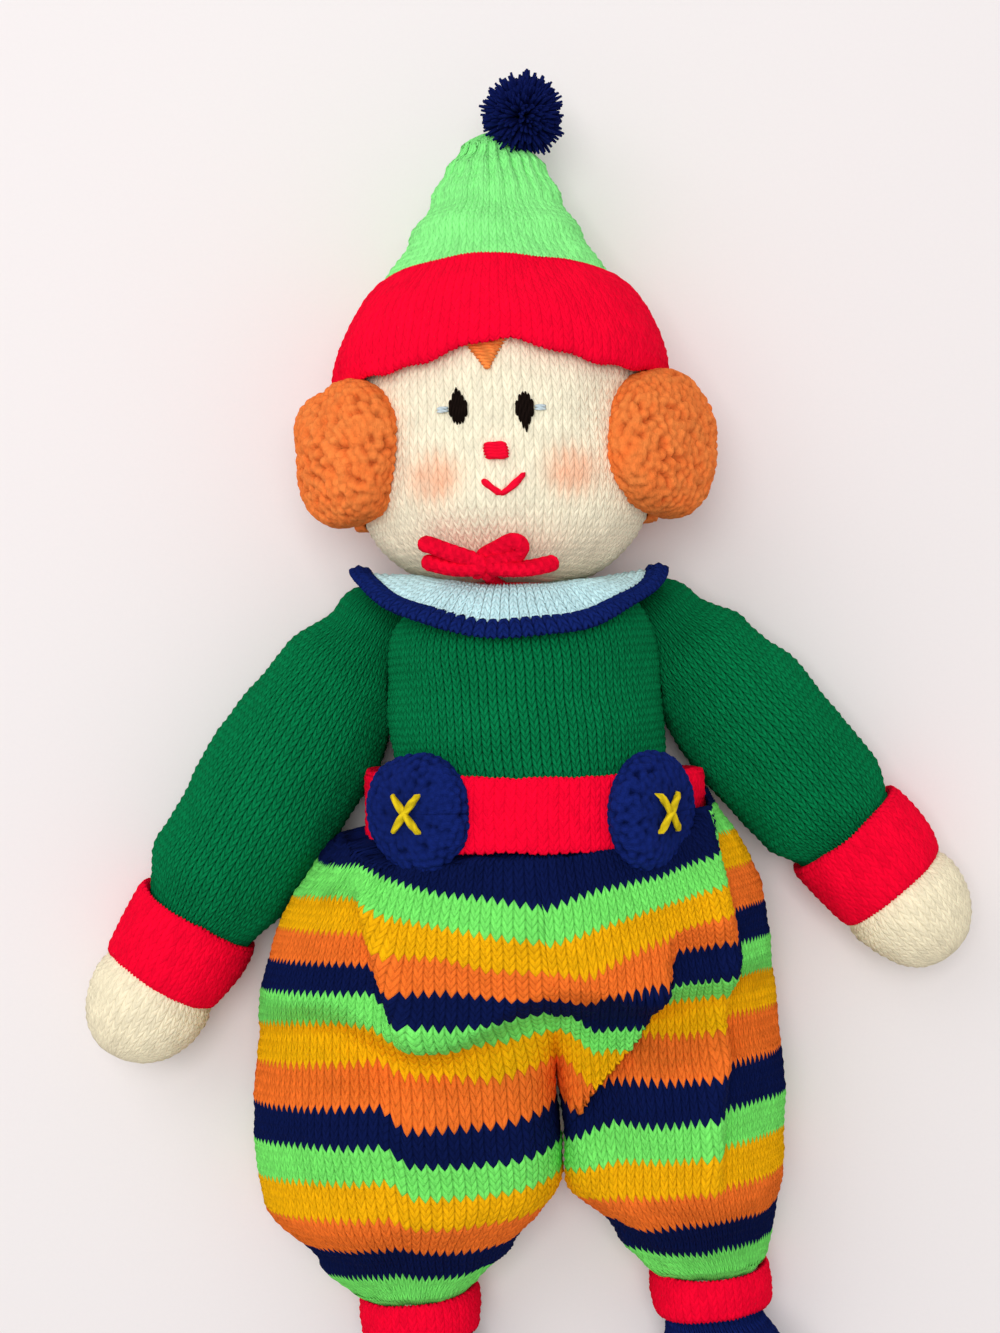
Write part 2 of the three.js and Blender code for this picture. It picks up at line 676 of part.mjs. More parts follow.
function armForm(arm, grow, sides = 12) {
  const length = arm.sleeve + CUFF_LENGTH + HAND_LENGTH + grow;
  const wrist = arm.sleeve + CUFF_LENGTH / 2;
  const handStart = arm.sleeve + CUFF_LENGTH * 0.7;
  const floorLevel = Math.max(arm.radius, CUFF_RADIUS) - FLOOR_CUT;
  const sleeveShare = [[0, 0], [0.17, 0.6], [0.4, 0.95], [0.55, 1], [0.83, 0.9], [1, 0.15]];
  const top = SHOULDER_RADIUS + grow;
  const rings = [0.04, 0.5, 0.85].map((t) => [-top * swell(t, 2), top * t]);
  for (const t of evenSteps(7)) {
    const s = t * wrist;
    const start = SHOULDER_RADIUS + (WRIST_RADIUS - SHOULDER_RADIUS) * t;
    const r = start + (arm.radius - start) * between(sleeveShare, Math.min(1, s / (arm.sleeve + 3)));
    rings.push([s, r + grow]);
  }
  rings.push([handStart, WRIST_RADIUS + grow]);
  for (const t of [0.3, 0.6, 0.82, 0.95, 1]) {
    const open = WRIST_RADIUS + (HAND_RADIUS - WRIST_RADIUS) * ease(0, 0.4, t) + grow;
    rings.push([handStart + (length - handStart) * t, Math.max(0.6, open * swell(t, 3.2))]);
  }
  const lowered = rings.map(([s, r]) => ({
    x: 0,
    y: -s,
    z: SHOULDER_RISE + (floorLevel - SHOULDER_RISE) * ease(0, arm.sleeve * 0.45, s),
    a: r,
    b: r,
  }));
  return solid(loft(lowered.reverse(), sides));
}

const RIGHT_ARM = {
  name: "right",
  side: -1,
  angle: -RIGHT_ARM_ANGLE,
  sleeve: RIGHT_SLEEVE_LENGTH,
  radius: RIGHT_SLEEVE_RADIUS,
};
const LEFT_ARM = {
  name: "left",
  side: 1,
  angle: LEFT_ARM_ANGLE,
  sleeve: LEFT_SLEEVE_LENGTH,
  radius: LEFT_SLEEVE_RADIUS,
};

for (const arm of [RIGHT_ARM, LEFT_ARM]) {
  const group = new THREE.Group();
  const at = shoulderAt(arm.side);
  group.position.set(at.x, at.y, 0);
  group.rotation.z = (arm.angle - BODY_LEAN) * RAD;
  body.add(group);
  group.updateMatrix();
  const toArm = group.matrix.clone().invert();
  // The arm lies against the torso, except where its round top turns in the shoulder.
  const beside = (room, inward) => {
    const top = shoulderBall(at, GAP / 2 - inward);
    return solid(torsoForm(room)).subtract(top).transform(toArm.toArray());
  };
  const inner = 2 * GAP + KNIT;
  const skin = armForm(arm, 0).subtract(beside(2 * GAP, 0));
  const inside = armForm(arm, -KNIT, 9).subtract(beside(inner, KNIT));
  const tube = skin.subtract(inside).subtract(underFloor());
  const wrist = -arm.sleeve - CUFF_LENGTH / 2;
  addPiece(group, `sleeve_${arm.name}`, tube.subtract(below(wrist)), 0x0a6b3c);
  addPiece(group, `hand_${arm.name}`, tube.subtract(above(wrist - GAP)), 0xf8e0bc);
  const filling = armForm(arm, -KNIT - LOOSE, 9).subtract(beside(inner + 2 * LOOSE, KNIT + LOOSE));
  addPiece(group, `arm_stuffing_${arm.name}`, filling, 0xf4f2ec);

  const floorLevel = Math.max(arm.radius, CUFF_RADIUS) - FLOOR_CUT;
  const cuffRings = evenSteps(3).map((t) => {
    const r = CUFF_RADIUS - 1.6 * (1 - t) + 0.9 * Math.sin(Math.PI * t);
    return { x: 0, y: -arm.sleeve - CUFF_LENGTH * (1 - t), z: floorLevel, a: r, b: r };
  });
  const cuff = solid(loft(cuffRings, 18)).subtract(armForm(arm, GAP)).subtract(underFloor());
  addPiece(group, `cuff_${arm.name}`, cuff, 0xf2062f);
}

// Waistband: a doubled red band round the body, its back on the floor.

function bandForm(grow, low, high) {
  const a = BAND_WIDTH / 2 + grow;
  const b = BAND_DEPTH / 2 + grow;
  const z = BAND_DEPTH / 2 - FLOOR_CUT;
  const rings = [low, (low + high) / 2, high].map((y) => ({ x: 0, y, z, a, b }));
  return loft(rings, 24);
}

const BAND_LOW = BAND_TOP - BAND_HEIGHT;

{
  const inside = solid(bandForm(-BAND_THICK, BAND_LOW - 1, BAND_TOP + 1)).add(solid(torsoForm(GAP)));
  const band = solid(bandForm(0, BAND_LOW, BAND_TOP)).subtract(inside);
  addPiece(body, "waistband", band.subtract(underFloor()), 0xf2062f);
}

// Striped trousers: a bagging seat above the crease at the hips, and a gathered leg below it on each side.

const RIGHT_SIDE = { name: "right", side: -1, width: RIGHT_LEG_WIDTH, ankle: RIGHT_ANKLE_X };
const LEFT_SIDE = { name: "left", side: 1, width: LEFT_LEG_WIDTH, ankle: LEFT_ANKLE_X };

// Cloth lies flatter on the floor than it stands above it, and is creased along its length.
function clothSection(ring, angle) {
  const flat = Math.sin(angle) < 0 ? 0.72 : 1;
  const bend = (value) => Math.sign(value) * Math.abs(value) ** flat;
  const standing = Math.max(0, Math.sin(angle)) ** 0.5;
  const crease = 1 - standing * ring.fold * Math.max(0, Math.cos(ring.folds * (angle - ring.turn))) ** 3;
  const a = Math.cos(angle) < 0 ? ring.aRight : ring.aLeft;
  return [a * bend(Math.cos(angle)) * crease, ring.b * bend(Math.sin(angle)) * crease];
}

function seatForm(grow, extra) {
  const top = BAND_LOW - GAP + extra;
  const bottom = HIP_LEVEL + GAP - extra;
  const rings = evenSteps(6).map((t) => {
    const y = top + (bottom - top) * t;
    const wide = between([[0, 0.03], [0.15, 0.46], [0.5, 0.86], [1, 1]], t);
    const front = between([[0, BAND_DEPTH - 2], [0.3, SEAT_FRONT], [0.66, SEAT_FRONT - 2], [1, HIP_RISE]], t);
    const reach = (side) => BAND_WIDTH / 2 - 0.6 + (side.width - 2 - BAND_WIDTH / 2) * wide + grow;
    return {
      x: 0,
      y,
      z: front / 2 - FLOOR_CUT / 2,
      aRight: reach(RIGHT_SIDE),
      aLeft: reach(LEFT_SIDE),
      b: front / 2 + FLOOR_CUT / 2 + grow,
      fold: 0.09 * Math.sin(Math.PI * t),
      folds: 5,
      turn: 0.35,
    };
  });
  return solid(loft(rings.reverse(), 24, clothSection));
}

function trouserLeg(leg, grow, extra) {
  const top = HIP_LEVEL - GAP + extra;
  const bottom = ANKLE_LEVEL - extra;
  const rings = evenSteps(7).map((t) => {
    const y = top + (bottom - top) * t;
    const narrow = between([[0, 0], [0.58, 0.02], [0.85, 0.6], [1, 1]], t);
    const ankle = ANKLE_RADIUS + GAP + KNIT + 1.4;
    const half = leg.width / 2 - GAP;
    const a = half + (ankle - half) * narrow + grow;
    const front = between([[0, HIP_RISE], [0.28, LEG_FRONT], [0.6, LEG_FRONT - 4], [1, 2 * ankle]], t);
    return {
      x: leg.side * (leg.width / 2 + GAP + (leg.ankle - leg.width / 2) * narrow),
      y,
      z: front / 2 - FLOOR_CUT / 2 + (LEG_Z - ankle) * narrow ** 2,
      aRight: a,
      aLeft: a,
      b: front / 2 + FLOOR_CUT / 2 + grow,
      fold: 0.1 * Math.sin(Math.PI * Math.min(1, t * 1.1)),
      folds: 6,
      turn: 0.5,
    };
  });
  return solid(loft(rings.reverse(), 18, clothSection));
}

{
  const inside = seatForm(-KNIT, 1).add(solid(torsoForm(GAP)));
  const cloth = seatForm(0, 0).subtract(inside).subtract(underFloor());
  const rightHalf = block(-FAR, -GAP / 2, -FAR, FAR, -FAR, FAR);
  const leftHalf = block(GAP / 2, FAR, -FAR, FAR, -FAR, FAR);
  addPiece(body, "trousers_seat_right", cloth.intersect(rightHalf), 0xe8a01c);
  addPiece(body, "trousers_seat_left", cloth.intersect(leftHalf), 0xe8a01c);
}

// Buttons: stuffed navy rounds on the waistband, each sewn on with a yellow cross stitch.

for (const [side, name] of [[-1, "right"], [1, "left"]]) {
  const round = BUTTON_ANGLE * RAD;
  const at = new THREE.Vector3(
    (side * BAND_WIDTH * Math.sin(round)) / 2,
    (BAND_TOP + BAND_LOW) / 2,
    BAND_DEPTH / 2 - FLOOR_CUT + (BAND_DEPTH * Math.cos(round)) / 2,
  );
  const out = new THREE.Vector3(side * Math.sin(round) * BAND_DEPTH, 0, Math.cos(round) * BAND_WIDTH);
  out.normalize();
  const button = new THREE.Group();
  button.position.copy(at);
  button.quaternion.setFromUnitVectors(new THREE.Vector3(0, 0, 1), out);
  button.updateMatrix();
  body.add(button);
  const toButton = button.matrix.clone().invert();
  const dome = (grow) => {
    const outline = Array.from({ length: 9 }, (_, i) => {
      const angle = (Math.PI * i) / 8 - Math.PI / 2;
      const r = (BUTTON_RADIUS + grow) * Math.max(0, Math.cos(angle)) ** 0.7;
      return new THREE.Vector2(i === 0 || i === 8 ? 0 : r, (BUTTON_THICK + grow) * Math.sin(angle));
    });
    return solid(new THREE.LatheGeometry(outline, 18).rotateX(Math.PI / 2));
  };
  const room = solid(placed(bandForm(GAP, BAND_LOW - GAP, BAND_TOP + GAP), toButton))
    .add(solid(placed(torsoForm(GAP), toButton)))
    .add(seatForm(GAP, GAP).transform(toButton.toArray()));
  addPiece(button, `button_${name}`, dome(0).subtract(room), 0x101a52);
  const half = CROSS_SIZE / 2;
  const arm = CROSS_LINE / 2;
  const bar = (turn) => {
    const strip = new THREE.BoxGeometry(2 * half * Math.SQRT2, 2 * arm, FAR).translate(0, 0, FAR / 2);
    return solid(strip.rotateZ(turn));
  };
  const stitches = dome(GAP + YARN).subtract(dome(GAP)).intersect(bar(Math.PI / 4).add(bar(-Math.PI / 4)));
  addPiece(button, `button_cross_${name}`, stitches, 0xf0c81c);
}

// Legs: each turns at the crease of the hip, with its trouser leg, ankle band and boot.

const LEG_Z = KNIT + LEG_RADIUS + 2; // the leg lies on the cloth under it

for (const leg of [RIGHT_SIDE, LEFT_SIDE]) {
  const group = new THREE.Group();
  body.add(group);
  const floor = underFloor();
  const cloth = trouserLeg(leg, 0, 0).subtract(trouserLeg(leg, -KNIT, 1)).subtract(floor);
  addPiece(group, `trouser_leg_${leg.name}`, cloth, 0xe8a01c);

  const legTop = HIP_LEVEL - 2;
  const soleLevel = ANKLE_LEVEL - ANKLE_BAND_LENGTH + 4 - BOOT_HEIGHT;
  const legForm = (grow, low) => {
    const rings = [0, 0.04, 0.1, 0.3, 0.6, 0.8, 1].map((t) => {
      const round = t < 0.1 ? swell(1 - t / 0.1, 2) * 0.75 + 0.25 : 1;
      const r = (LEG_RADIUS + (ANKLE_RADIUS - LEG_RADIUS) * ease(0.3, 1, t)) * round;
      return {
        x: leg.side * (THIGH_X + (leg.ankle - THIGH_X) * Math.min(1, t * 1.25)),
        y: legTop + grow + (low - legTop - grow) * t,
        z: LEG_Z,
        a: r + grow,
        b: r + grow,
      };
    });
    return solid(loft(rings.reverse(), 14));
  };
  const ankleSeam = ANKLE_LEVEL - ANKLE_BAND_LENGTH / 2;
  const skin = legForm(0, ankleSeam).subtract(legForm(-KNIT, ankleSeam - 1));
  addPiece(group, `leg_${leg.name}`, skin, 0xf8e9c7);
  addPiece(group, `leg_stuffing_${leg.name}`, legForm(-KNIT - LOOSE, ankleSeam + GAP), 0xf4f2ec);

  const boot = new THREE.Group();
  const heelRise = LEG_Z;
  boot.position.set(leg.side * leg.ankle, 0, heelRise);
  boot.rotation.y = leg.side * BOOT_SPLAY * RAD;
  boot.updateMatrix();
  group.add(boot);
  const bootTop = ankleSeam - GAP;
  const bootForm = (grow) => {
    const rings = [0, 0.2, 0.36, 0.56, 0.78, 0.93, 1].map((t) => {
      const foot = ease(0.16, 0.62, t);
      const sole = t > 0.78 ? swell((t - 0.78) / 0.24, 3) : 1;
      const length = ANKLE_RADIUS + (BOOT_LENGTH / 2 - ANKLE_RADIUS) * foot;
      return {
        x: 0,
        y: bootTop + (soleLevel - bootTop) * t + grow * (0.7 * Math.sin(Math.PI * t) - ease(0.6, 1, t)),
        z: (length - ANKLE_RADIUS) * 0.7,
        a: (ANKLE_RADIUS + (BOOT_WIDTH / 2 - ANKLE_RADIUS) * foot) * sole + grow,
        b: length * sole + grow,
      };
    });
    return loft(rings.reverse(), 16);
  };
  const toBoot = boot.matrix.clone().invert();
  const bootFloor = underFloor().transform(toBoot.toArray());
  const bootMouth = new THREE.CylinderGeometry(ANKLE_RADIUS - KNIT, ANKLE_RADIUS - KNIT, 2 * KNIT, 16);
  const bootHollow = solid(bootForm(-KNIT)).add(solid(bootMouth.translate(0, bootTop, 0)));
  const bootSkin = solid(bootForm(0)).subtract(bootHollow);
  addPiece(boot, `boot_${leg.name}`, bootSkin.subtract(bootFloor), 0x101a52);
  const instep = [0, (bootTop + soleLevel) / 2, BOOT_LENGTH / 8];
  const share = 1 - (2.5 * LOOSE) / BOOT_WIDTH;
  const bootFilling = solid(drawnIn(bootForm(-KNIT), instep, share)).subtract(above(bootTop - LOOSE));
  addPiece(boot, `boot_stuffing_${leg.name}`, bootFilling.subtract(bootFloor), 0xf4f2ec);

  // The ankle band gathers the trouser leg and covers the seam between leg and boot.
  const bandRing = (y, r) => ({ x: leg.side * leg.ankle, y, z: heelRise, a: r, b: r });
  const bandOuter = ANKLE_RADIUS + GAP + ANKLE_BAND_THICK;
  const bandTop = ANKLE_LEVEL - GAP;
  const bandLow = bandTop - ANKLE_BAND_LENGTH;
  const middle = (bandTop + bandLow) / 2;
  const bandRings = [
    bandRing(bandLow, bandOuter - 0.6),
    bandRing(middle, bandOuter),
    bandRing(bandTop, bandOuter - 0.3),
  ];
  const band = solid(loft(bandRings, 16)).subtract(legForm(GAP, ankleSeam - 2));
  const bootRoom = solid(placed(bootForm(GAP), boot.matrix));
  addPiece(group, `ankle_band_${leg.name}`, band.subtract(bootRoom).subtract(floor), 0xf2062f);
}

export default doll;
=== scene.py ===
"""A knitted clown doll lying on its back, put together from its separate pieces.

Sizes are in millimetres in each piece's own frame. Right and left are the doll's own.
"""
import math

import bpy
import numpy as np
from mathutils import Matrix, Vector


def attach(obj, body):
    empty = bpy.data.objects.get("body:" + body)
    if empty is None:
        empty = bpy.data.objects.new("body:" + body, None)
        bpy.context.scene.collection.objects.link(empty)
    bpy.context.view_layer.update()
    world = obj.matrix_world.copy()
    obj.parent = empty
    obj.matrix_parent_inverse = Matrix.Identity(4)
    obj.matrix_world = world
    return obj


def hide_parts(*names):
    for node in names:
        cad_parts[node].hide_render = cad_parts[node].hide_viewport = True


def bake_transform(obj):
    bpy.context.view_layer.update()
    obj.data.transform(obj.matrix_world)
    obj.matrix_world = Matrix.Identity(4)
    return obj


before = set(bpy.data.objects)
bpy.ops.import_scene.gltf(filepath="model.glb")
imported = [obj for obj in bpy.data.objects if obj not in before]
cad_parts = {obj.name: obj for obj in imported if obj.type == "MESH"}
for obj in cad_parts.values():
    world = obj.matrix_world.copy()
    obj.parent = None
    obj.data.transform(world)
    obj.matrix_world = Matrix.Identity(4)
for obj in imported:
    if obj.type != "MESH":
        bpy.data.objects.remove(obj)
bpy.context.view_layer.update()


# Camera: hung 0.6 m straight above the doll, which lies on its back.
# Its frame takes in the doll from the pompom to the ankles.
camera_data = bpy.data.cameras.new("camera")
camera_data.sensor_width = 36
camera_data.lens = 52.52
camera = bpy.data.objects.new("camera", camera_data)
camera.location = (-0.00493, 0.00957, 0.6)
bpy.context.scene.collection.objects.link(camera)
bpy.context.scene.camera = camera
bpy.context.scene.view_settings.view_transform = "Standard"


# Floor: a sheet of pale paper, faintly uneven. A window to the upper left and a ceiling lamp light it,
# and a white room fills in the shadows.
class Shade:
    """An output of a material's nodes, so that shading can be written as arithmetic."""

    def __init__(self, socket):
        self.socket = socket

    def node(self, kind, settings, inputs, out=0):
        tree = self.socket.id_data
        made = tree.nodes.new("ShaderNode" + kind)
        for name, value in settings.items():
            setattr(made, name, value)
        for key, value in inputs.items():
            if isinstance(value, Shade):
                tree.links.new(value.socket, made.inputs[key])
            else:
                made.inputs[key].default_value = value
        return Shade(made.outputs[out])

    def work(self, doing, left, right):
        kinds = [side.socket.type for side in (left, right) if isinstance(side, Shade)]
        if "RGBA" in kinds:
            left, right = (x if isinstance(x, (Shade, tuple)) else (x, x, x, 1) for x in (left, right))
            settings = {"data_type": "RGBA", "blend_type": doing}
            return self.node("Mix", settings, {0: 1.0, 6: left, 7: right}, 2)
        if "VECTOR" in kinds:
            left, right = (x if isinstance(x, (Shade, tuple)) else (x, x, x) for x in (left, right))
            return self.node("VectorMath", {"operation": doing}, {0: left, 1: right})
        return self.node("Math", {"operation": doing}, {0: left, 1: right})

    def __add__(self, other):
        return self.work("ADD", self, other)

    def __radd__(self, other):
        return self.work("ADD", other, self)

    def __sub__(self, other):
        return self.work("SUBTRACT", self, other)

    def __rsub__(self, other):
        return self.work("SUBTRACT", other, self)

    def __mul__(self, other):
        return self.work("MULTIPLY", self, other)

    def __rmul__(self, other):
        return self.work("MULTIPLY", other, self)

    def __truediv__(self, other):
        return self.work("DIVIDE", self, other)

    def __rtruediv__(self, other):
        return self.work("DIVIDE", other, self)


def material(name, roughness):
    made = bpy.data.materials.new(name)
    made.use_nodes = True
    surface = made.node_tree.nodes["Principled BSDF"]
    surface.inputs["Roughness"].default_value = roughness
    surface.inputs["Specular IOR Level"].default_value = 0.04
    place = Shade(made.node_tree.nodes.new("ShaderNodeTexCoord").outputs["Object"])
    return made, surface, place


def linear(red, green, blue):
    """A colour as it is seen, 0 to 255, turned to the light it reflects."""
    parts = [c / 255 for c in (red, green, blue)]
    return tuple(c / 12.92 if c < 0.04045 else ((c + 0.055) / 1.055) ** 2.4 for c in parts) + (1,)


def connect(shade, surface, socket):
    surface.id_data.links.new(shade.socket, surface.inputs[socket])


def plain(place, colour):
    """One even colour, for shading to be laid over."""
    made = place.node("RGB", {}, {})
    made.socket.default_value = colour
    return made


def noise(place, scale, detail=2.0, distortion=0.0):
    wanted = {"Vector": place, "Scale": scale, "Detail": detail, "Distortion": distortion}
    return place.node("TexNoise", {}, wanted)


def floor_paper():
    made, surface, place = material("pale_paper", 0.85)
    tone = noise(place, 3.0) * 0.03 + noise(place, 900.0) * 0.02 + 0.96
    connect(plain(place, linear(242, 236, 236)) * tone, surface, "Base Color")
    return made


def add_object(name, data):
    made = bpy.data.objects.new(name, data)
    bpy.context.scene.collection.objects.link(made)
    return made


floor_mesh = bpy.data.meshes.new("floor")
floor_mesh.from_pydata([(-2, -2, 0), (2, -2, 0), (2, 2, 0), (-2, 2, 0)], [], [(0, 1, 2, 3)])
floor = add_object("floor", floor_mesh)
floor_mesh.materials.append(floor_paper())

LAMPS = (("window", 1.2, 5.5, (-0.8, 0.8, 1.2)), ("ceiling", 0.7, 10.5, (-0.1, 0.15, 1.5)))
for name, size, energy, spot in LAMPS:
    light = bpy.data.lights.new(name, "AREA")
    light.size = size
    light.energy = energy
    lamp = add_object(name, light)
    lamp.location = spot
    lamp.rotation_euler = (-lamp.location).to_track_quat("-Z", "Y").to_euler()

world = bpy.data.worlds.new("room")
world.use_nodes = True
world.node_tree.nodes["Background"].inputs["Color"].default_value = (1, 1, 1, 1)
world.node_tree.nodes["Background"].inputs["Strength"].default_value = 0.5
bpy.context.scene.world = world


# Torso: a stuffed bag of green stocking stitch, knitted in one piece and drawn in at the neck.
# It is sewn to the head there, inside the collar.
# KNIT is the thickness of its cover and of the other pieces' covers.
MM = 0.001
KNIT = 2.2
BODY_TURN = 5


def laid(x, y, degrees):
    """The frame of a piece that lies at x, y, turned on the floor."""
    return Matrix.Translation((x, y, 0)) @ Matrix.Rotation(math.radians(degrees), 4, "Z")


BODY = laid(2.5, 0, BODY_TURN)


def swell(t, power):
    """How full a rounded form is at t, from 1 at its middle to 0 at its ends, 1 and -1."""
    return np.sqrt(np.clip(1 - np.abs(t) ** power, 0, None))


def ease(low, high, value):
    """From 0 at low to 1 at high, smoothly."""
    t = np.clip((np.asarray(value, float) - low) / (high - low), 0, 1)
    return t * t * (3 - 2 * t)


def between(stations, value):
    """A row of shares along a form, read smoothly between its stations."""
    value = np.asarray(value, float)
    total = np.full(value.shape, float(stations[0][1]))
    for (low, start), (high, end) in zip(stations, stations[1:]):
        total = total + (end - start) * ease(low, high, value)
    return total


def lumpy(points, size, seed):
    """A smooth unevenness from about -1 to 1, its hollows about size across."""
    rng = np.random.default_rng(seed)
    total = np.zeros(points.shape[:-1])
    for _ in range(7):
        way = rng.normal(size=3)
        way *= 2 * np.pi * rng.uniform(0.6, 1.5) / (size * np.linalg.norm(way))
        total += np.sin(points @ way + rng.uniform(0, 2 * np.pi))
    return total / 3.5


def lengths(points):
    """How far along a line each of its points lies."""
    return np.concatenate([[0], np.cumsum(np.linalg.norm(np.diff(points, axis=0), axis=1))])


def tube(y, x, z, a, b):
    """Rounded rings across Y. u runs round from the back, v along the form by its length."""
    rings = [np.asarray(w, float) for w in np.broadcast_arrays(y, x, z, a, b)]
    y, x, z, a, b = rings
    length = lengths(np.stack([y, (a + b) / 2], -1))

    def surface(u, v):
        s = v * length[-1]
        at_y, at_x, at_z, at_a, at_b = (np.interp(s, length, w) for w in rings)
        turn = 2 * np.pi * u
        return np.stack([at_x + at_a * np.sin(turn), at_y, at_z - at_b * np.cos(turn)], -1)

    surface.length = length[-1]
    return surface


def plump(y, down, up, a, b, z, power, top_power=None, rise=None, top=1.0):
    """A rounded bag about its widest level y, squarer as its power grows, cut off above at a share, top."""
    t = -np.cos(np.linspace(0, np.arccos(-top), 320))
    share = np.maximum(0.02, swell(t, np.where(t > 0, top_power or power, power)))
    level = y + np.where(t < 0, down, up) * t
    return tube(level, 0, z + (rise(level) if rise else 0), a * share, b * share)


def stocking(across, along):
    """Two slanting legs of yarn to each stitch. Gives the height of the yarn and the lean of the row."""
    part = across % 1
    fold = np.abs(2 * part - 1)
    leg = np.interp(fold, [0, 0.25, 0.5, 0.75, 1], [0.42, 0.85, 1, 0.72, 0])
    pinch = 1 - 0.55 * np.cos(np.pi * along) ** 2
    return leg * pinch, fold - 0.5


def knots(points, pitch, seed):
    """Uneven little knots of yarn, close together over a surface. Gives the height of the yarn."""
    rng = np.random.default_rng(seed)
    flat = points.reshape(-1, 3)
    middles = flat[:1]
    for place in flat[rng.permutation(len(flat))[:5000]]:
        if ((middles - place) ** 2).sum(1).min() > 0.62 * pitch**2:
            middles = np.vstack([middles, place])
    way = rng.normal(size=middles.shape)
    way /= np.linalg.norm(way, axis=1)[:, None]
    height = []
    for some in np.array_split(flat, 60):
        apart = some[:, None] - middles[None]
        near = ((apart**2).sum(-1) - 0.62 * (apart * way[None]).sum(-1) ** 2).min(1)
        height.append(np.sqrt(np.clip(1 - near / (0.66 * pitch) ** 2, 0, 1)))
    return np.concatenate(height).reshape(points.shape[:-1])


def add_mesh(name, points, quads, tris, uv, values, made_of):
    mesh = bpy.data.meshes.new(name)
    corners = np.concatenate([quads.ravel(), tris.ravel()]).astype(np.int32)
    sizes = np.concatenate([np.full(len(quads), 4), np.full(len(tris), 3)])
    starts = np.concatenate([[0], np.cumsum(sizes)[:-1]]).astype(np.int32)
    mesh.vertices.add(len(points))
    mesh.vertices.foreach_set("co", (points * MM).astype(np.float32).ravel())
    mesh.loops.add(len(corners))
    mesh.loops.foreach_set("vertex_index", corners)
    mesh.polygons.add(len(sizes))
    mesh.polygons.foreach_set("loop_start", starts)
    mesh.update(calc_edges=True)
    mesh.shade_smooth()
    if uv is not None:
        layer = mesh.uv_layers.new(name="OFBake")
        layer.data.foreach_set("uv", uv.astype(np.float32).ravel())
    for key, value in values.items():
        made = mesh.attributes.new(key, "FLOAT", "POINT")
        made.data.foreach_set("value", np.asarray(value, np.float32).ravel())
    mesh.materials.append(made_of)
    return add_object(name, mesh)


def on_floor(points, lowest=0.15):
    """What would sink into the floor is pressed flat on it."""
    z = points[..., 2]
    low = z < lowest + 0.5
    points[..., 2] = np.where(low, lowest + 0.5 * np.exp(np.minimum(0, z - lowest - 0.5)), z)
    return points


def into(points, where):
    """Points in a piece's own frame, put where the piece lies."""
    turn = np.array(where)
    return points @ turn[:3, :3].T + turn[:3, 3]


def cloth(name, points, values, closed, ring, made_of):
    """One mesh from rows of points. A ring's ends are joined, and those of a closed bag drawn together."""
    rows, columns = points.shape[:2]
    i = np.arange(columns if closed else columns - 1)
    j = np.arange(rows - 1)[:, None]
    onward = (i + 1) % columns
    near, far = j * columns + i, j * columns + onward
    quads = np.stack([near, near + columns, far + columns, far], -1).reshape(-1, 4)
    here, there = i / len(i), (i + 1) / len(i)
    left, right = (np.broadcast_to(w, near.shape) for w in (here, there))
    low, high = (np.broadcast_to((j + k) / (rows - 1), near.shape) for k in (0, 1))
    uv = np.stack([left, low, left, high, right, high, right, low], -1).reshape(-1, 2)
    points = points.reshape(-1, 3)
    values = {key: np.asarray(value, float).ravel() for key, value in values.items()}
    tris = np.zeros((0, 3), int)
    last = (rows - 1) * columns
    if ring:
        quads = np.vstack([quads, np.stack([last + i, i, onward, last + onward], -1)])
        edge = np.ones(len(i))
        seam = np.stack([here, edge, here, edge, there, edge, there, edge], -1)
        uv = np.vstack([uv, seam.reshape(-1, 2)])
    elif closed:
        for first, level in ((0, 0.0), (last, 1.0)):
            rim = [first + i, first + onward] if first == 0 else [first + onward, first + i]
            tris = np.vstack([tris, np.stack(rim + [np.full(len(i), len(points))], -1)])
            points = np.vstack([points, points[first + i].mean(0)])
            values = {key: np.append(value, value[first + i].mean()) for key, value in values.items()}
            edge = np.full(len(i), level)
            fan = np.stack([here, edge, there, edge, (i + 0.5) / len(i), edge], -1)
            uv = np.vstack([uv, fan.reshape(-1, 2)])
    return add_mesh(name, points, quads, tris, uv, values, made_of)


# Points of the mesh across each stitch, and how many there are along it.
COLUMNS = np.array([0, 0.25, 0.5, 0.75])
LEVELS = 4


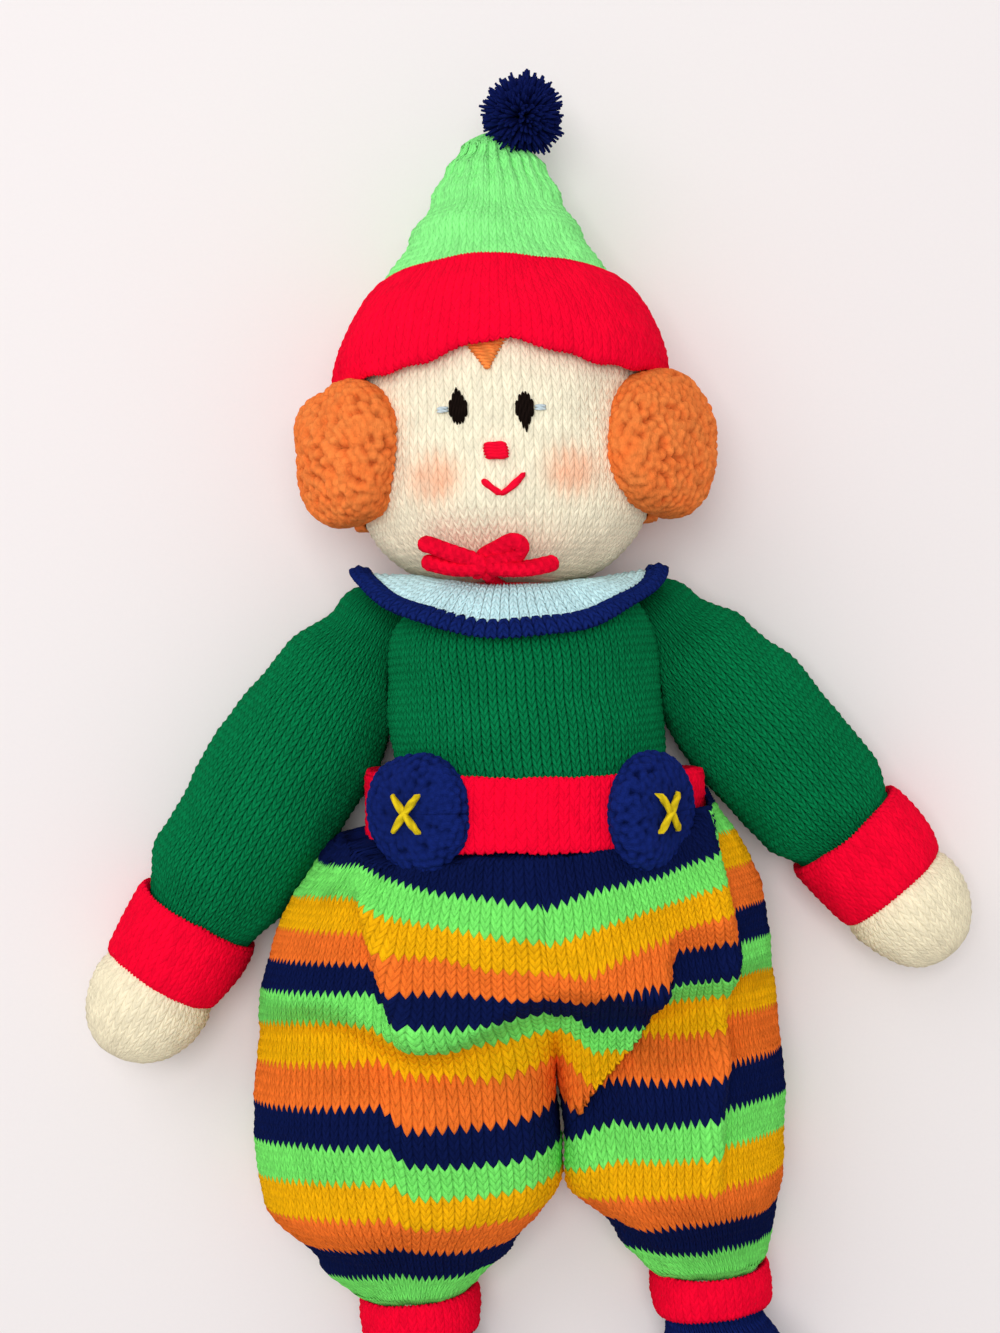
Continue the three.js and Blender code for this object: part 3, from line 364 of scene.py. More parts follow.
def knit(name, surface, wales, courses, where, made_of, stitch=stocking, lift=0.62, slope=0.95,
         lump=0.5, seed=1, closed=True, ring=False, press=None, extra=None, pitch=None, teeth=False):
    """Cloth knitted over a surface: wales round it along u, courses along v."""
    rng = np.random.default_rng(seed)
    across = (np.arange(wales)[:, None] + COLUMNS).ravel()
    if not closed:
        across = np.append(across, wales)
    along = np.arange(courses * LEVELS + 1) / LEVELS
    wale, course = np.meshgrid(across, along)
    height, lean = stitch(wale, course)
    if not teeth:
        lean = lean * np.clip(np.minimum(course, courses - course), 0, 1)
    row = course + slope * lean
    points = surface((wale + 0.05 * np.sin(0.9 * course + seed)) / wales, row / courses)
    if press:
        points = press(points)
    down = np.gradient(points, along, axis=0)
    if closed:
        apart = (np.roll(across, -1) - np.roll(across, 1)) % wales
        over = (np.roll(points, -1, 1) - np.roll(points, 1, 1)) / apart[None, :, None]
    else:
        over = np.gradient(points, across, axis=1)
    normal = np.cross(down, over)
    size = np.linalg.norm(normal, axis=-1)
    normal = normal / np.maximum(size, 1e-9)[..., None]
    breadth = size / np.maximum(np.linalg.norm(down, axis=-1), 1e-9)
    breadth = np.clip(breadth / np.median(breadth), 0, 1.15)
    each = rng.uniform(0.86, 1.14, (courses + 1, wales, 2))
    which = (course.astype(int), wale.astype(int) % wales, ((wale % 1) > 0.45).astype(int))
    height = knots(points, pitch, seed) if pitch else height * each[which]
    swollen = lump * lumpy(points, 26, seed) + 0.25 * lump * lumpy(points, 8, seed + 50)
    points = points + normal * (lift * breadth * (height - 0.5) + swollen)[..., None]
    points = on_floor(into(points, where))
    values = {"stitch": height, "wale": wale, "row": course}
    if extra:
        values.update(extra(wale, course))
    return cloth(name, points, values, closed, ring, made_of)


def yarn(name, colour, deep=0.5, speck=0.3, fuzz=0.5, knitted=True):
    """Soft spun yarn: painted shade darkens it between the stitches, and it is streaked along its plies and a
    little uneven in its dye.
    """
    made, surface, place = material(name, 0.95)
    wale = place.node("Attribute", {"attribute_name": "wale"}, {}, 2)
    row = place.node("Attribute", {"attribute_name": "row"}, {}, 2)
    height = place.node("Attribute", {"attribute_name": "stitch"}, {}, 2)
    # For knitted cloth the height is worked out from the stitch pattern, low in the grooves between the legs
    # of each stitch and between its rows.
    if knitted:
        def ridge(value):
            part = place.node("Math", {"operation": "FRACT"}, {0: value})
            return place.node("Math", {"operation": "ABSOLUTE"}, {0: part * 2 - 1})

        def rise(value, high):
            ramp = {"interpolation_type": "SMOOTHSTEP"}
            return place.node("MapRange", ramp, {0: value, 1: 0.0, 2: high, 3: 0.0, 4: 1.0})

        fold = ridge(wale)
        leg = rise(1 - place.node("Math", {"operation": "ABSOLUTE"}, {0: fold * 2 - 1}), 0.55)
        gap = rise(1 - ridge(row), 0.42)
        height = 1 - (1 - leg) * (fold * 0.5 + 0.3) - (1 - gap) * 0.45
    ply = place.node("CombineXYZ", {}, {0: wale * 9, 1: row * 2.2})
    streak = noise(ply, 1.0)
    cloud = noise(place, 60.0)
    legs = place.node("Math", {"operation": "FLOOR"}, {0: wale * 2})
    rows = place.node("Math", {"operation": "FLOOR"}, {0: row})
    cell = place.node("CombineXYZ", {}, {0: legs, 1: rows})
    each = place.node("TexWhiteNoise", {"noise_dimensions": "2D"}, {"Vector": cell})
    dye = colour(place, row) if callable(colour) else plain(place, colour)
    # Painted shade: the dye is darkened where the height is low, in the grooves between stitches, plies and
    # knots, down to the share deep.
    tone = (height * (1 - deep) + deep) * (streak * speck + (1 - speck / 2)) * (cloud * 0.2 + 0.9)
    connect(dye * (tone * (each * 0.16 + 0.92)), surface, "Base Color")
    fluff = noise(place, 1400.0, 3.0)
    bumped = {"Strength": fuzz, "Distance": 0.0005, "Height": fluff + streak + height * 1.5}
    connect(place.node("Bump", {}, bumped), surface, "Normal")
    return made


def fit(made, body, node):
    """Says what the piece rides on, and hides the part of the model that it stands for."""
    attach(made, body)
    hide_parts(node)
    return made


def fibre_fill():
    made, surface, place = material("fibre_fill", 0.95)
    wisp = noise(place, 160.0, 5.0, 1.5)
    connect(plain(place, linear(246, 244, 238)) * (wisp * 0.3 + 0.8), surface, "Base Color")
    connect(place.node("Bump", {}, {"Strength": 0.6, "Distance": 0.001, "Height": wisp}), surface, "Normal")
    return made


FIBRE = fibre_fill()


def stuffing(node, body, surface, where, inset, seed):
    """Loose polyester fibre packed into a cover, lumpy on its outside."""
    made = knit(node, surface, 16, 18, where, FIBRE, lambda w, c: (0 * w + 0.5, 0 * w), lift=0, slope=0,
                lump=0, seed=seed)
    co = np.empty(len(made.data.vertices) * 3, np.float32)
    made.data.vertices.foreach_get("co", co)
    co = co.reshape(-1, 3).astype(float) / MM
    normal = np.empty(co.size, np.float32)
    made.data.vertices.foreach_get("normal", normal)
    swollen = -inset + 0.5 * lumpy(co, 9, seed)
    co = on_floor(co + normal.reshape(-1, 3) * swollen[:, None], KNIT + 0.6)
    made.data.vertices.foreach_set("co", (co * MM).astype(np.float32).ravel())
    made.data.update()
    fit(made, body, node)


TORSO_HALF_WIDTH, TORSO_HALF_DEPTH, TORSO_MIDDLE = 39.5, 34, 33.5
TORSO_WIDEST, TORSO_DOWN, TORSO_UP = -5, 84, 40
HIP_POWER, SHOULDER_POWER = 3.2, 5


def torso_rise(y):
    return 7 * ease(7, 33, y) + 3.35 * (1 - ease(-24, -13, y))


torso_full = plump(TORSO_WIDEST, TORSO_DOWN, TORSO_UP, TORSO_HALF_WIDTH, TORSO_HALF_DEPTH, TORSO_MIDDLE,
                   HIP_POWER, SHOULDER_POWER, rise=torso_rise, top=0.945)


def torso_shape(u, v):
    """The bag, flatter toward the neck, where it goes in under the collar."""
    at = torso_full(u, v)
    flat = 1 - 0.3 * ease(12, 33, at[..., 1])
    middle = TORSO_MIDDLE + torso_rise(at[..., 1])
    return np.stack([at[..., 0], at[..., 1], middle + (at[..., 2] - middle) * flat], -1)


GREEN = yarn("green_knit", linear(6, 129, 75), deep=0.22, speck=0.35, fuzz=0.8)
torso = knit("torso_cover", torso_shape, 92, 66, BODY, GREEN, seed=3, lump=0.6)
fit(torso, "torso", "torso_cover")
stuffing("torso_stuffing", "torso", torso_shape, BODY, KNIT + 2.8, 4)


# Head: a stuffed ball of cream stocking stitch, gathered at the neck and sewn on there.
# Rouge is brushed on its cheeks, and a faint pink under the chin is a painted reflection.
NECK_AT = BODY @ Vector((-2.1, 33, 0))
HEAD = laid(NECK_AT.x, NECK_AT.y, 2)
HEAD_HALF_WIDTH, HEAD_HALF_DEPTH, HEAD_Z = 43, 38, 41.05
HEAD_WIDEST, CHIN_DROP, CROWN_RISE = 35, 37, 53
CHIN_POWER, CROWN_POWER = 2.6, 4
HEAD_WALES, HEAD_COURSES = 98, 52
head_shape = plump(HEAD_WIDEST, CHIN_DROP, CROWN_RISE, HEAD_HALF_WIDTH, HEAD_HALF_DEPTH, HEAD_Z,
                   CHIN_POWER, CROWN_POWER)


# The cream yarn, with rouge on the cheeks and a painted pink reflection under the chin.
def rouge_and_reflection(place, row):
    cream = plain(place, linear(255, 246, 218))
    pink = place.node("Attribute", {"attribute_name": "blush"}, {}, 2)
    amount = pink * (noise(place, 300.0) * 0.8 + 0.6)
    settings = {"data_type": "RGBA", "clamp_factor": True}
    return place.node("Mix", settings, {0: amount, 6: cream, 7: linear(255, 160, 112)}, 2)


def cheeks(wale, course):
    at = head_shape(wale / HEAD_WALES, course / HEAD_COURSES)
    spots = [np.exp(-(((at[..., 0] - x) / 7.2) ** 2 + ((at[..., 1] - y) / 6.6) ** 2) ** 1.4)
             for x, y in ((-19.4, 28.6), (17.7, 29.2))]
    # Painted reflection: a faint pink under the chin, fading out above it.
    painted_reflection = 0.16 * ease(22, 4, at[..., 1])
    return {"blush": painted_reflection + 0.62 * (spots[0] + spots[1]) * (at[..., 2] > HEAD_Z)}


CREAM = yarn("cream_knit", rouge_and_reflection, deep=0.72, speck=0.12)
head = knit("head_cover", head_shape, HEAD_WALES, HEAD_COURSES, HEAD, CREAM, seed=5, extra=cheeks)
fit(head, "head", "head_cover")
stuffing("head_stuffing", "head", head_shape, HEAD, KNIT + 1.2, 6)


# Face: embroidered straight onto the head in satin stitches of single yarn, each eye with one
# pale stitch beside it. Nose and mouth are red, and the forelock is a tuft of orange stitches.
def lines(name, runs, made_of, where, sides=8, ply=0.1, twist=1.1, beads=0.0):
    """Lengths of yarn or cord as one piece. Each run is its points and its radius along them."""
    points, quads, tris, values = [], [], [], []
    count = 0
    for line, radius in runs:
        line = np.asarray(line, float)
        radius = np.broadcast_to(np.asarray(radius, float), len(line))
        ahead = np.gradient(line, axis=0)
        ahead /= np.maximum(np.linalg.norm(ahead, axis=1), 1e-9)[:, None]
        side = np.cross(ahead[0], (0.31, 0.2, 0.93) if abs(ahead[0][2]) < 0.9 else (1, 0, 0.1))
        sides_at = []
        for way in ahead:
            side = side - way * (side @ way)
            side = side / np.linalg.norm(side)
            sides_at.append(side)
        across = np.array(sides_at)
        over = np.cross(ahead, across)
        run = lengths(line)
        angle = 2 * np.pi * np.arange(sides) / sides
        spun = 1 + ply * np.cos(2 * angle[None] - (twist * run / np.maximum(radius, 0.2))[:, None])
        if beads:
            spun = spun + 0.07 * np.cos(2 * np.pi * run / beads)[:, None] * np.cos(3 * angle)[None]
        reach = radius[:, None] * spun
        ring = (line[:, None] + reach[..., None] * (np.cos(angle)[None, :, None] * across[:, None]
                + np.sin(angle)[None, :, None] * over[:, None]))
        points += [ring.reshape(-1, 3), line[:1], line[-1:]]
        i, j = np.meshgrid(np.arange(sides), np.arange(len(line) - 1))
        near = count + j * sides + i
        far = count + j * sides + (i + 1) % sides
        quads.append(np.stack([near, far, far + sides, near + sides], -1).reshape(-1, 4))
        first, last = count, count + (len(line) - 1) * sides
        start = count + len(line) * sides
        k = np.arange(sides)
        nxt = (k + 1) % sides
        tris.append(np.stack([first + nxt, first + k, np.full(sides, start)], -1))
        tris.append(np.stack([last + k, last + nxt, np.full(sides, start + 1)], -1))
        lit = np.clip(0.62 + 0.38 * (spun - 1) / max(ply, 0.05), 0.2, 1)
        turn = np.broadcast_to(angle / np.pi, lit.shape)
        along = np.broadcast_to((run / 2.4)[:, None], lit.shape)
        ends = np.array([[0.7, 0, along[0, 0]], [0.7, 0, along[-1, 0]]])
        values.append(np.vstack([np.stack([lit, turn, along], -1).reshape(-1, 3), ends]))
        count += len(line) * sides + 2
    values = np.vstack(values)
    held = {"stitch": values[:, 0], "wale": values[:, 1], "row": values[:, 2]}
    points = into(np.vstack(points), where)
    return add_mesh(name, points, np.vstack(quads), np.vstack(tris), None, held, made_of)


def rounded(count, radius, blunt=0.5):
    """A radius that closes at both ends of a run."""
    t = np.linspace(-1, 1, count)
    return radius * np.maximum(0.18, (1 - np.abs(t) ** (2 / blunt)) ** 0.5)


def head_share(y):
    """How wide the head is at a level, as a share of its widest."""
    low = y < HEAD_WIDEST
    t = np.abs(y - HEAD_WIDEST) / np.where(low, CHIN_DROP, CROWN_RISE)
    return swell(np.clip(t, 0, 1), np.where(low, CHIN_POWER, CROWN_POWER))


def on_face(x, y, lift):
    x, y = np.broadcast_arrays(np.asarray(x, float), np.asarray(y, float))
    share = head_share(y)
    z = HEAD_Z + HEAD_HALF_DEPTH * share * np.sqrt(np.clip(1 - (x / (HEAD_HALF_WIDTH * share)) ** 2, 0, 1))
    return np.stack([x, y, z + lift], -1)


def satin(outline, radius, upright, lift):
    """Stitches laid side by side, each given by its place in the row, its middle and its half length."""
    runs = []
    for offset, middle, half in outline:
        t = np.linspace(-1, 1, 11)
        arch = lift + 0.45 * (1 - t**4) - 0.9 * (np.abs(t) > 0.95)
        x, y = (offset + 0 * t, middle + half * t) if upright else (middle + half * t, offset + 0 * t)
        runs.append((on_face(x, y, arch), rounded(11, radius)))
    return runs


BLACK = yarn("black_yarn", linear(26, 17, 14), deep=0.4, knitted=False)
RED_YARN = yarn("red_yarn", linear(252, 14, 52), deep=0.85, knitted=False)
SKY_YARN = yarn("light_blue_yarn", linear(214, 230, 236), deep=0.7, knitted=False)
ORANGE_YARN = yarn("orange_yarn", linear(255, 146, 72), deep=0.6, knitted=False)
# Half lengths above and below each eye's middle: the right eye is pointed above, the left one below.
for name, at_x, at_y, tops, lows in (
    ("eye_right", -12.1, 47.2, (1.9, 3.9, 5.3, 4.5, 3.1, 1.6), (2.7, 4.4, 5.0, 5.1, 4.6, 3.0)),
    ("eye_left", 5.7, 45.6, (2.4, 4.3, 5.0, 5.2, 4.5, 2.8), (1.7, 3.4, 5.0, 6.2, 4.0, 2.0)),
):
    stitches = []
    for k, (top, low) in enumerate(zip(tops, lows)):
        offset = at_x + (k - 2.5) * 0.78
        stitches.append((offset, at_y + (top - low) / 2, (top + low) / 2))
    fit(lines(name, satin(stitches, 0.58, True, 0.45), BLACK, HEAD), "head", name)
for name, at_x, at_y in (("eye_stitch_right", -16.3, 46.6), ("eye_stitch_left", 10.0, 46.1)):
    stitches = [(at_y + k * 0.8, at_x, 1.6) for k in (-0.5, 0.5)]
    made = lines(name, satin(stitches, 0.42, False, 0.2), SKY_YARN, HEAD)
    fit(made, "head", name)
nose_rows = [(34.8 + k * 0.95, -2.3 - 0.12 * k, 3.4 - 0.1 * k**2) for k in (-1.7, -0.85, 0, 0.85, 1.7)]
fit(lines("nose", satin(nose_rows, 0.8, False, 0.6), RED_YARN, HEAD), "head", "nose")


def mouth_line(start, end, drop):
    t = np.linspace(0, 1, 14)
    x = start[0] + (end[0] - start[0]) * t
    y = start[1] + (end[1] - start[1]) * t - drop * np.sin(np.pi * t)
    return on_face(x, y, 0.55 + 0.2 * np.sin(np.pi * t) - 0.8 * (t < 0.02)), rounded(14, 0.95, 0.4)


smile = [mouth_line((-6.4, 27.2), (-1.2, 23.1), 0.2), mouth_line((-1.6, 23.0), (5.3, 28.7), 0.5)]
fit(lines("mouth", smile, RED_YARN, HEAD), "head", "mouth")
lock_rows = [(65.6 - k * 0.92, -4.6 + 0.07 * k, max(0.5, 6.7 - 0.68 * k)) for k in range(10)]
lock = lines("forelock", satin(lock_rows, 0.72, False, 0.55), ORANGE_YARN, HEAD)
fit(lock, "head", "forelock")


# Hair: two stuffed puffs of orange moss stitch sewn over the ears, and a flat piece behind the head
# whose lower edge shows under the puffs.
def hair_dye(red, green, blue):
    def dye(place, row):
        deep = linear(red, green * 0.84, blue * 0.7)
        pale = linear(red, green * 1.13, blue * 1.2)
        return place.node("Mix", {"data_type": "RGBA"}, {0: noise(place, 220.0, 3.0), 6: deep, 7: pale}, 2)

    return dye


ORANGE = yarn("orange_knit", hair_dye(255, 136, 66), deep=0.68, speck=0.3, fuzz=0.8, knitted=False)
SIDES = (("right", -1), ("left", 1))
PUFF_HALF_WIDTH, PUFF_HALF_HEIGHT = 14.2, 20.8


def puff(side):
    """A ball pressed against the side of the head, its inner edge lying forward on the cheek."""
    ball = plump(37.8, PUFF_HALF_HEIGHT, PUFF_HALF_HEIGHT, PUFF_HALF_WIDTH, 17, 0, 2.6)

    def surface(u, v):
        at = ball(u, v)
        inward = -at[..., 0] / PUFF_HALF_WIDTH * side
        x = side * (44.1 + 1.2 * np.abs(inward) * (inward < 0)) + at[..., 0]
        return np.stack([x, at[..., 1], HEAD_Z + 14 + 13.5 * inward + at[..., 2]], -1)

    return surface


for name, side in SIDES:
    made = knit(f"hair_puff_{name}", puff(side), 48, 24, HEAD, ORANGE, lift=1.9, slope=0, lump=0.9,
                seed=11 + side, pitch=2.7)
    fit(made, "head", f"hair_puff_{name}")


def behind_head(u, v):
    """Out along the back of the head from one side to the other, and back again on the inner side."""
    outer = u < 0.5
    part = np.where(outer, 4 * u - 1, 3 - 4 * u)
    turn = part * np.radians(93)
    y = 17.6 + 42.0 * v
    share = head_share(y)
    fade = np.clip((1 - np.abs(part)) * 12, 0, 1)
    grow = np.where(outer, 0.5 + 2.9 * fade, 0.45)
    x = (HEAD_HALF_WIDTH * share + grow) * np.sin(turn)
    return np.stack([x, y, HEAD_Z - (HEAD_HALF_DEPTH * share + grow) * np.cos(turn)], -1)


back_hair = knit("hair_back", behind_head, 70, 18, HEAD, ORANGE, lift=1.0, slope=0, lump=0.2, seed=14,
                 pitch=2.7)
fit(back_hair, "head", "hair_back")


# Hat: a light green cone that narrows to gathered ribs at its tip, sewn to a broad red brim
# that is turned back over its edge and pushed up off the forehead.
CROWN_BASE, CROWN_LENGTH = 76, 57
CROWN_FOOT = HEAD_HALF_WIDTH * float(head_share(CROWN_BASE)) + 2.55
DEPTH_SHARE = HEAD_HALF_DEPTH / HEAD_HALF_WIDTH


def crown_middle(t):
    return HEAD_Z - 13 * ease(0.1, 1, t)


def crown_half(t):
    taper = between([(0.2, 1), (0.42, 0.78), (0.63, 0.54), (0.81, 0.38), (0.93, 0.2), (1, 0)], t)
    return 4 + 27 * taper + (CROWN_FOOT - 31) * (1 - ease(0, 0.24, t))


crown_t = np.linspace(0, 1, 260)
crown_close = np.where(crown_t > 0.97, swell((crown_t - 0.97) / 0.0302, 2), 1)
crown_r = crown_half(crown_t) * crown_close
crown_cone = tube(CROWN_BASE + (CROWN_LENGTH + 0.4) * crown_t, 0, crown_middle(crown_t), crown_r,
                  crown_r * DEPTH_SHARE)


def crown_shape(u, v):
    at = crown_cone(u, v)
    t = (at[..., 1] - CROWN_BASE) / CROWN_LENGTH
    middle = crown_middle(t)
    gather = 1 + 0.07 * ease(0.45, 0.95, t) * np.cos(2 * np.pi * (24 * u + 0.3 * np.sin(5 * np.pi * u)))
    gather = gather + 0.03 * np.sin(2 * np.pi * 3 * u + 4 * t)
    return np.stack([at[..., 0] * gather, at[..., 1], middle + (at[..., 2] - middle) * gather], -1)


LIGHT_GREEN = yarn("light_green_knit", linear(150, 255, 148), deep=0.74, speck=0.2)
crown = knit("hat_crown", crown_shape, 74, 27, HEAD, LIGHT_GREEN, seed=17, lump=0.7)
fit(crown, "head", "hat_crown")

# The brim's section: shares of its depth, and how far out from the hat.
BRIM_SECTION = [(0.05, -3.4), (-0.01, -2.6), (-0.03, -1.2), (0.01, 0), (0.12, 0.5), (0.5, 0.8), (0.85, 0.5),
                (0.97, 0), (1.01, -1.2), (1.0, -2.8), (0.94, -3.8)]
BRIM_DEPTH, BRIM_HALF_WIDTH = 28, 47.9


def section_at(section, share, scale=(1, 1)):
    """The point at a share of the way along a section drawn by its corners."""
    section = np.asarray(section, float)
    run = lengths(section * scale)
    return [np.interp(share * run[-1], run, section[:, k]) for k in (0, 1)]


def brim_shape(u, v):
    t, out = section_at(BRIM_SECTION, v, (BRIM_DEPTH, 1))
    turn = 2 * np.pi * u
    back = -np.cos(turn)
    half = BRIM_HALF_WIDTH + 0 * u
    for _ in range(4):
        x, z = half * np.sin(turn), half * DEPTH_SHARE * back
        low = 57.2 + np.where(z > 0, 7.6 * np.exp(-((x / 22) ** 2)), 0.14 * z)
        high = 86 + 0.14 * z
        y = low + (high - low) * t
        on_crown = crown_half(np.clip((y - CROWN_BASE) / CROWN_LENGTH, 0, 1)) + 2.4
        half = np.maximum(BRIM_HALF_WIDTH - 0.0165 * np.clip(y - 58, 0, None) ** 2, on_crown) + out
    y = y + 0.45 * np.sin(2 * np.pi * 19 * u) * (t < 0.1)
    return np.stack([half * np.sin(turn), y, HEAD_Z + half * DEPTH_SHARE * back], -1)


RED = yarn("red_knit", linear(255, 6, 50), deep=0.84, speck=0.14, fuzz=0.45)
brim = knit("hat_brim", brim_shape, 104, 16, HEAD, RED, lift=0.45, seed=19, lump=0.7, ring=True)
fit(brim, "head", "hat_brim")


# Pompom: a ball of navy yarn, its strands tied round the middle and cut to length.
# The end of the tie is sewn to the hat's tip, so that the ball can swing.
rng = np.random.default_rng(23)
ball_at = np.array([9.0, 136.55, 35.05])
tufts = []
for _ in range(900):
    way = rng.normal(size=3)
    way /= np.linalg.norm(way)
    bend = rng.normal(size=3) * 0.9
    reach = 11 * rng.uniform(0.92, 1.08)
    t = np.linspace(0.3, 1, 5)[:, None]
    tufts.append((ball_at + way * reach * t + bend * t**2, np.array([0.5, 0.6, 0.66, 0.6, 0.35])))
tie = np.linspace([0, 134.0, 28.05], ball_at, 6)
tufts.append((tie, 1.1))
NAVY_YARN = yarn("navy_yarn", linear(18, 30, 96), deep=0.35, speck=0.5, knitted=False)
pompom = lines("pompom", tufts, NAVY_YARN, HEAD, sides=5)
fit(pompom, "pompom", "pompom")


# Collar: a light blue ruff knitted outward from the neck, its wales fanning to a navy cast-off edge.
# It is gathered and sewn round the neck seam, bulges in front and lies over the shoulders.
NECK = laid(NECK_AT.x, NECK_AT.y, 0)
GAP = 0.35
COLLAR_WALES = 86


def collar_rim(angle):
    front = np.cos(angle)
    middle = HEAD_Z + 3.5
    rise = np.where(front > 0, 25.5, middle - KNIT - GAP)
    level = 3.5 - 15.6 * np.maximum(0, front) ** 1.4 - 2.5 * ease(0, -0.3, front)
    return np.stack([41 * np.sin(angle), level, middle + rise * front], -1)


def collar_inner(angle):
    return np.stack([18.8 * np.sin(angle), 0 * angle - 1.9, HEAD_Z + 18.8 * np.cos(angle)], -1)


def ruffle(angle):
    return 0.35 * np.sin(9 * angle)


def collar_shape(u, v):
    angle = 2 * np.pi * u + np.pi
    upper = v < 0.5
    share = np.where(upper, 2 * v, 2 - 2 * v)
    at = collar_inner(angle) * (1 - share)[..., None] + collar_rim(angle) * share[..., None]
    thick = np.where(upper, 0.9, -0.9) * np.clip(12 * (1 - share), 0, 1)
    belly = (share / 0.45) ** 2 * np.exp(2 - 2 * share / 0.45) - share * 0.4285
    belly = belly * np.clip(np.cos(angle) + 0.2, 0, 1) ** 0.7
    return at + np.stack([0 * u, thick + share * ruffle(angle) + 4.6 * belly, 3.8 * belly], -1)


SKY = yarn("light_blue_knit", linear(212, 250, 255), deep=0.32, speck=0.16)
collar = knit("collar", collar_shape, COLLAR_WALES, 20, NECK, SKY, lift=0.85, seed=29, lump=0.2, ring=True)
fit(collar, "torso", "collar")

EDGING_SECTION = [(-1.6, 1.5), (0.5, 2.0), (2.6, 1.7), (4.2, 0.7), (4.5, -0.4), (3.2, -1.4), (0.5, -1.9),
                  (-1.2, -1.4)]


def edging_shape(u, v):
    angle = 2 * np.pi * u + np.pi
    rim = collar_rim(angle)
    out = rim - collar_inner(angle)
    out /= np.linalg.norm(out, axis=-1)[..., None]
    tangent = collar_rim(angle + 0.01) - collar_rim(angle - 0.01)
    up = np.cross(out, tangent)
    up /= np.linalg.norm(up, axis=-1)[..., None]
    middle = rim + np.stack([0 * u, ruffle(angle), 0 * u], -1)
    beyond, over = (w[..., None] for w in section_at(EDGING_SECTION, v))
    return middle + beyond * out + over * up


NAVY = yarn("navy_knit", linear(20, 38, 108), deep=0.45, speck=0.4, fuzz=0.8)
edging = knit("collar_edging", edging_shape, COLLAR_WALES, 5, NECK, NAVY, lift=0.9, lump=0.2, seed=31,
              ring=True, teeth=True)
fit(edging, "torso", "collar_edging")


# Bow: one red cord, knitted round, tied under the chin. It passes round the neck inside the collar,
# and each half goes from the knot round a loop, back through the knot and out as an end.
def smooth_line(stops, count):
    """A curve through its stops, evenly stepped."""
    stops = np.asarray(stops, float)
    padded = np.vstack([2 * stops[0] - stops[1], stops, 2 * stops[-1] - stops[-2]])
    line = []
    for a, b, c, d in zip(padded, padded[1:], padded[2:], padded[3:]):
        t = np.linspace(0, 1, 30, endpoint=False)[:, None]
        line.append(0.5 * (2 * b + (c - a) * t + (2 * a - 5 * b + 4 * c - d) * t**2
                           + (3 * b - a - 3 * c + d) * t**3))
    line = np.vstack(line + [stops[-1:]])
    run = lengths(line)
    even = np.linspace(0, run[-1], count)
    return np.stack([np.interp(even, run, line[:, k]) for k in range(3)], -1), run[-1]


RED_CORD = yarn("red_cord", linear(254, 8, 50), deep=0.62, speck=0.25, fuzz=0.7, knitted=False)
CORD_THICK = 4.6
for name, stops in (
    ("bow_cord_right", [(-9.5, 37.0, 70.8), (-14, 38.8, 71.6), (-20, 41.2, 73.0), (-24.0, 42.6, 73.8),
                        (-25.0, 42.6, 75.2), (-23.6, 42.2, 76.6), (-18, 40.2, 76.6), (-12.6, 38.4, 76.2),
                        (-9.4, 36.8, 76.2), (-12.8, 36.0, 75.6), (-18.4, 36.3, 74.2), (-26.2, 38.3, 72.4)]),
    ("bow_cord_left", [(-8.5, 37.0, 70.8), (-9.6, 39.2, 73.4), (-5.6, 41.4, 76.0), (-1.6, 43.2, 77.6),
                       (0.6, 42.2, 77.2), (0.0, 40.2, 76.0), (-3.6, 39.0, 75.6), (-8.0, 37.0, 76.4),
                       (-4.4, 35.9, 75.8), (3.0, 36.2, 74.6), (11.0, 38.0, 72.6)]),
):
    line, length = smooth_line([(x, y, z - 0.002 * (x + 6) ** 2) for x, y, z in stops], 90)
    runs = [(line, rounded(90, CORD_THICK / 2, 0.06))]
    made = lines(name, runs, RED_CORD, Matrix.Identity(4), 12, 0.03, 0.5, 2.4)
    fit(made, "torso", "neck_bow")
turn = np.linspace(0, 2 * np.pi, 49)
ring_line = np.stack([16.8 * np.sin(turn), 0 * turn - 1.2, HEAD_Z + 16.8 * np.cos(turn)], -1)
rise = smooth_line([(-1.7, -1.0, HEAD_Z + 16.6), (-5.4, 1.4, 64.0), (-7.0, 4.2, 71.5)], 16)[0]
knot_turns = []
for k, (tilt, size) in enumerate(((0.35, 3.0), (-0.3, 3.3), (0.05, 2.9))):
    around = np.linspace(0, 2 * np.pi, 33)
    x = -6.6 + (k - 1) * 1.3 + 0.5 * np.sin(around) + tilt * 2.2 * np.cos(around)
    y = 4.2 + size * 0.8 * np.cos(around)
    z = 73.2 + size * 0.7 * np.sin(around)
    knot_turns.append((np.stack([x, y, z], -1), 1.5))
knot = lines("neck_bow", [(ring_line, 1.6), (rise, 1.7)] + knot_turns, RED_CORD, NECK, 10, 0.03, 0.5, 2.4)
fit(knot, "torso", "neck_bow")


# Arms: each a stuffed tube knitted in one with its hand, green to the wrist and cream beyond it.
# A red cuff, folded double, is sewn over the change of yarn, and the top is sewn to the shoulder.
def torso_section(y):
    t = (y - TORSO_WIDEST) / np.where(y < TORSO_WIDEST, TORSO_DOWN, TORSO_UP)
    share = np.maximum(0.02, swell(np.clip(t, -1, 1), np.where(t > 0, SHOULDER_POWER, HIP_POWER)))
    return TORSO_HALF_WIDTH * share, TORSO_HALF_DEPTH * share, TORSO_MIDDLE + torso_rise(y)


def beside_torso(where, room):
    """Presses what would pass into the torso flat against it."""
    there = BODY.inverted() @ where
    back = there.inverted()

    def press(points):
        at = into(points, there)
        a, b, middle = torso_section(at[..., 1])
        x, z = at[..., 0] / (a + room), (at[..., 2] - middle) / (b + room)
        far = np.sqrt(x**2 + z**2)
        push = np.where((far < 1) & (at[..., 1] < 34), 1 / np.maximum(far, 0.3), 1)
        moved = np.stack([at[..., 0] * push, at[..., 1], middle + (at[..., 2] - middle) * push], -1)
        share = ease(2, 14, -points[..., 1])[..., None]
        return points + share * (into(moved, back) - points)

    return press


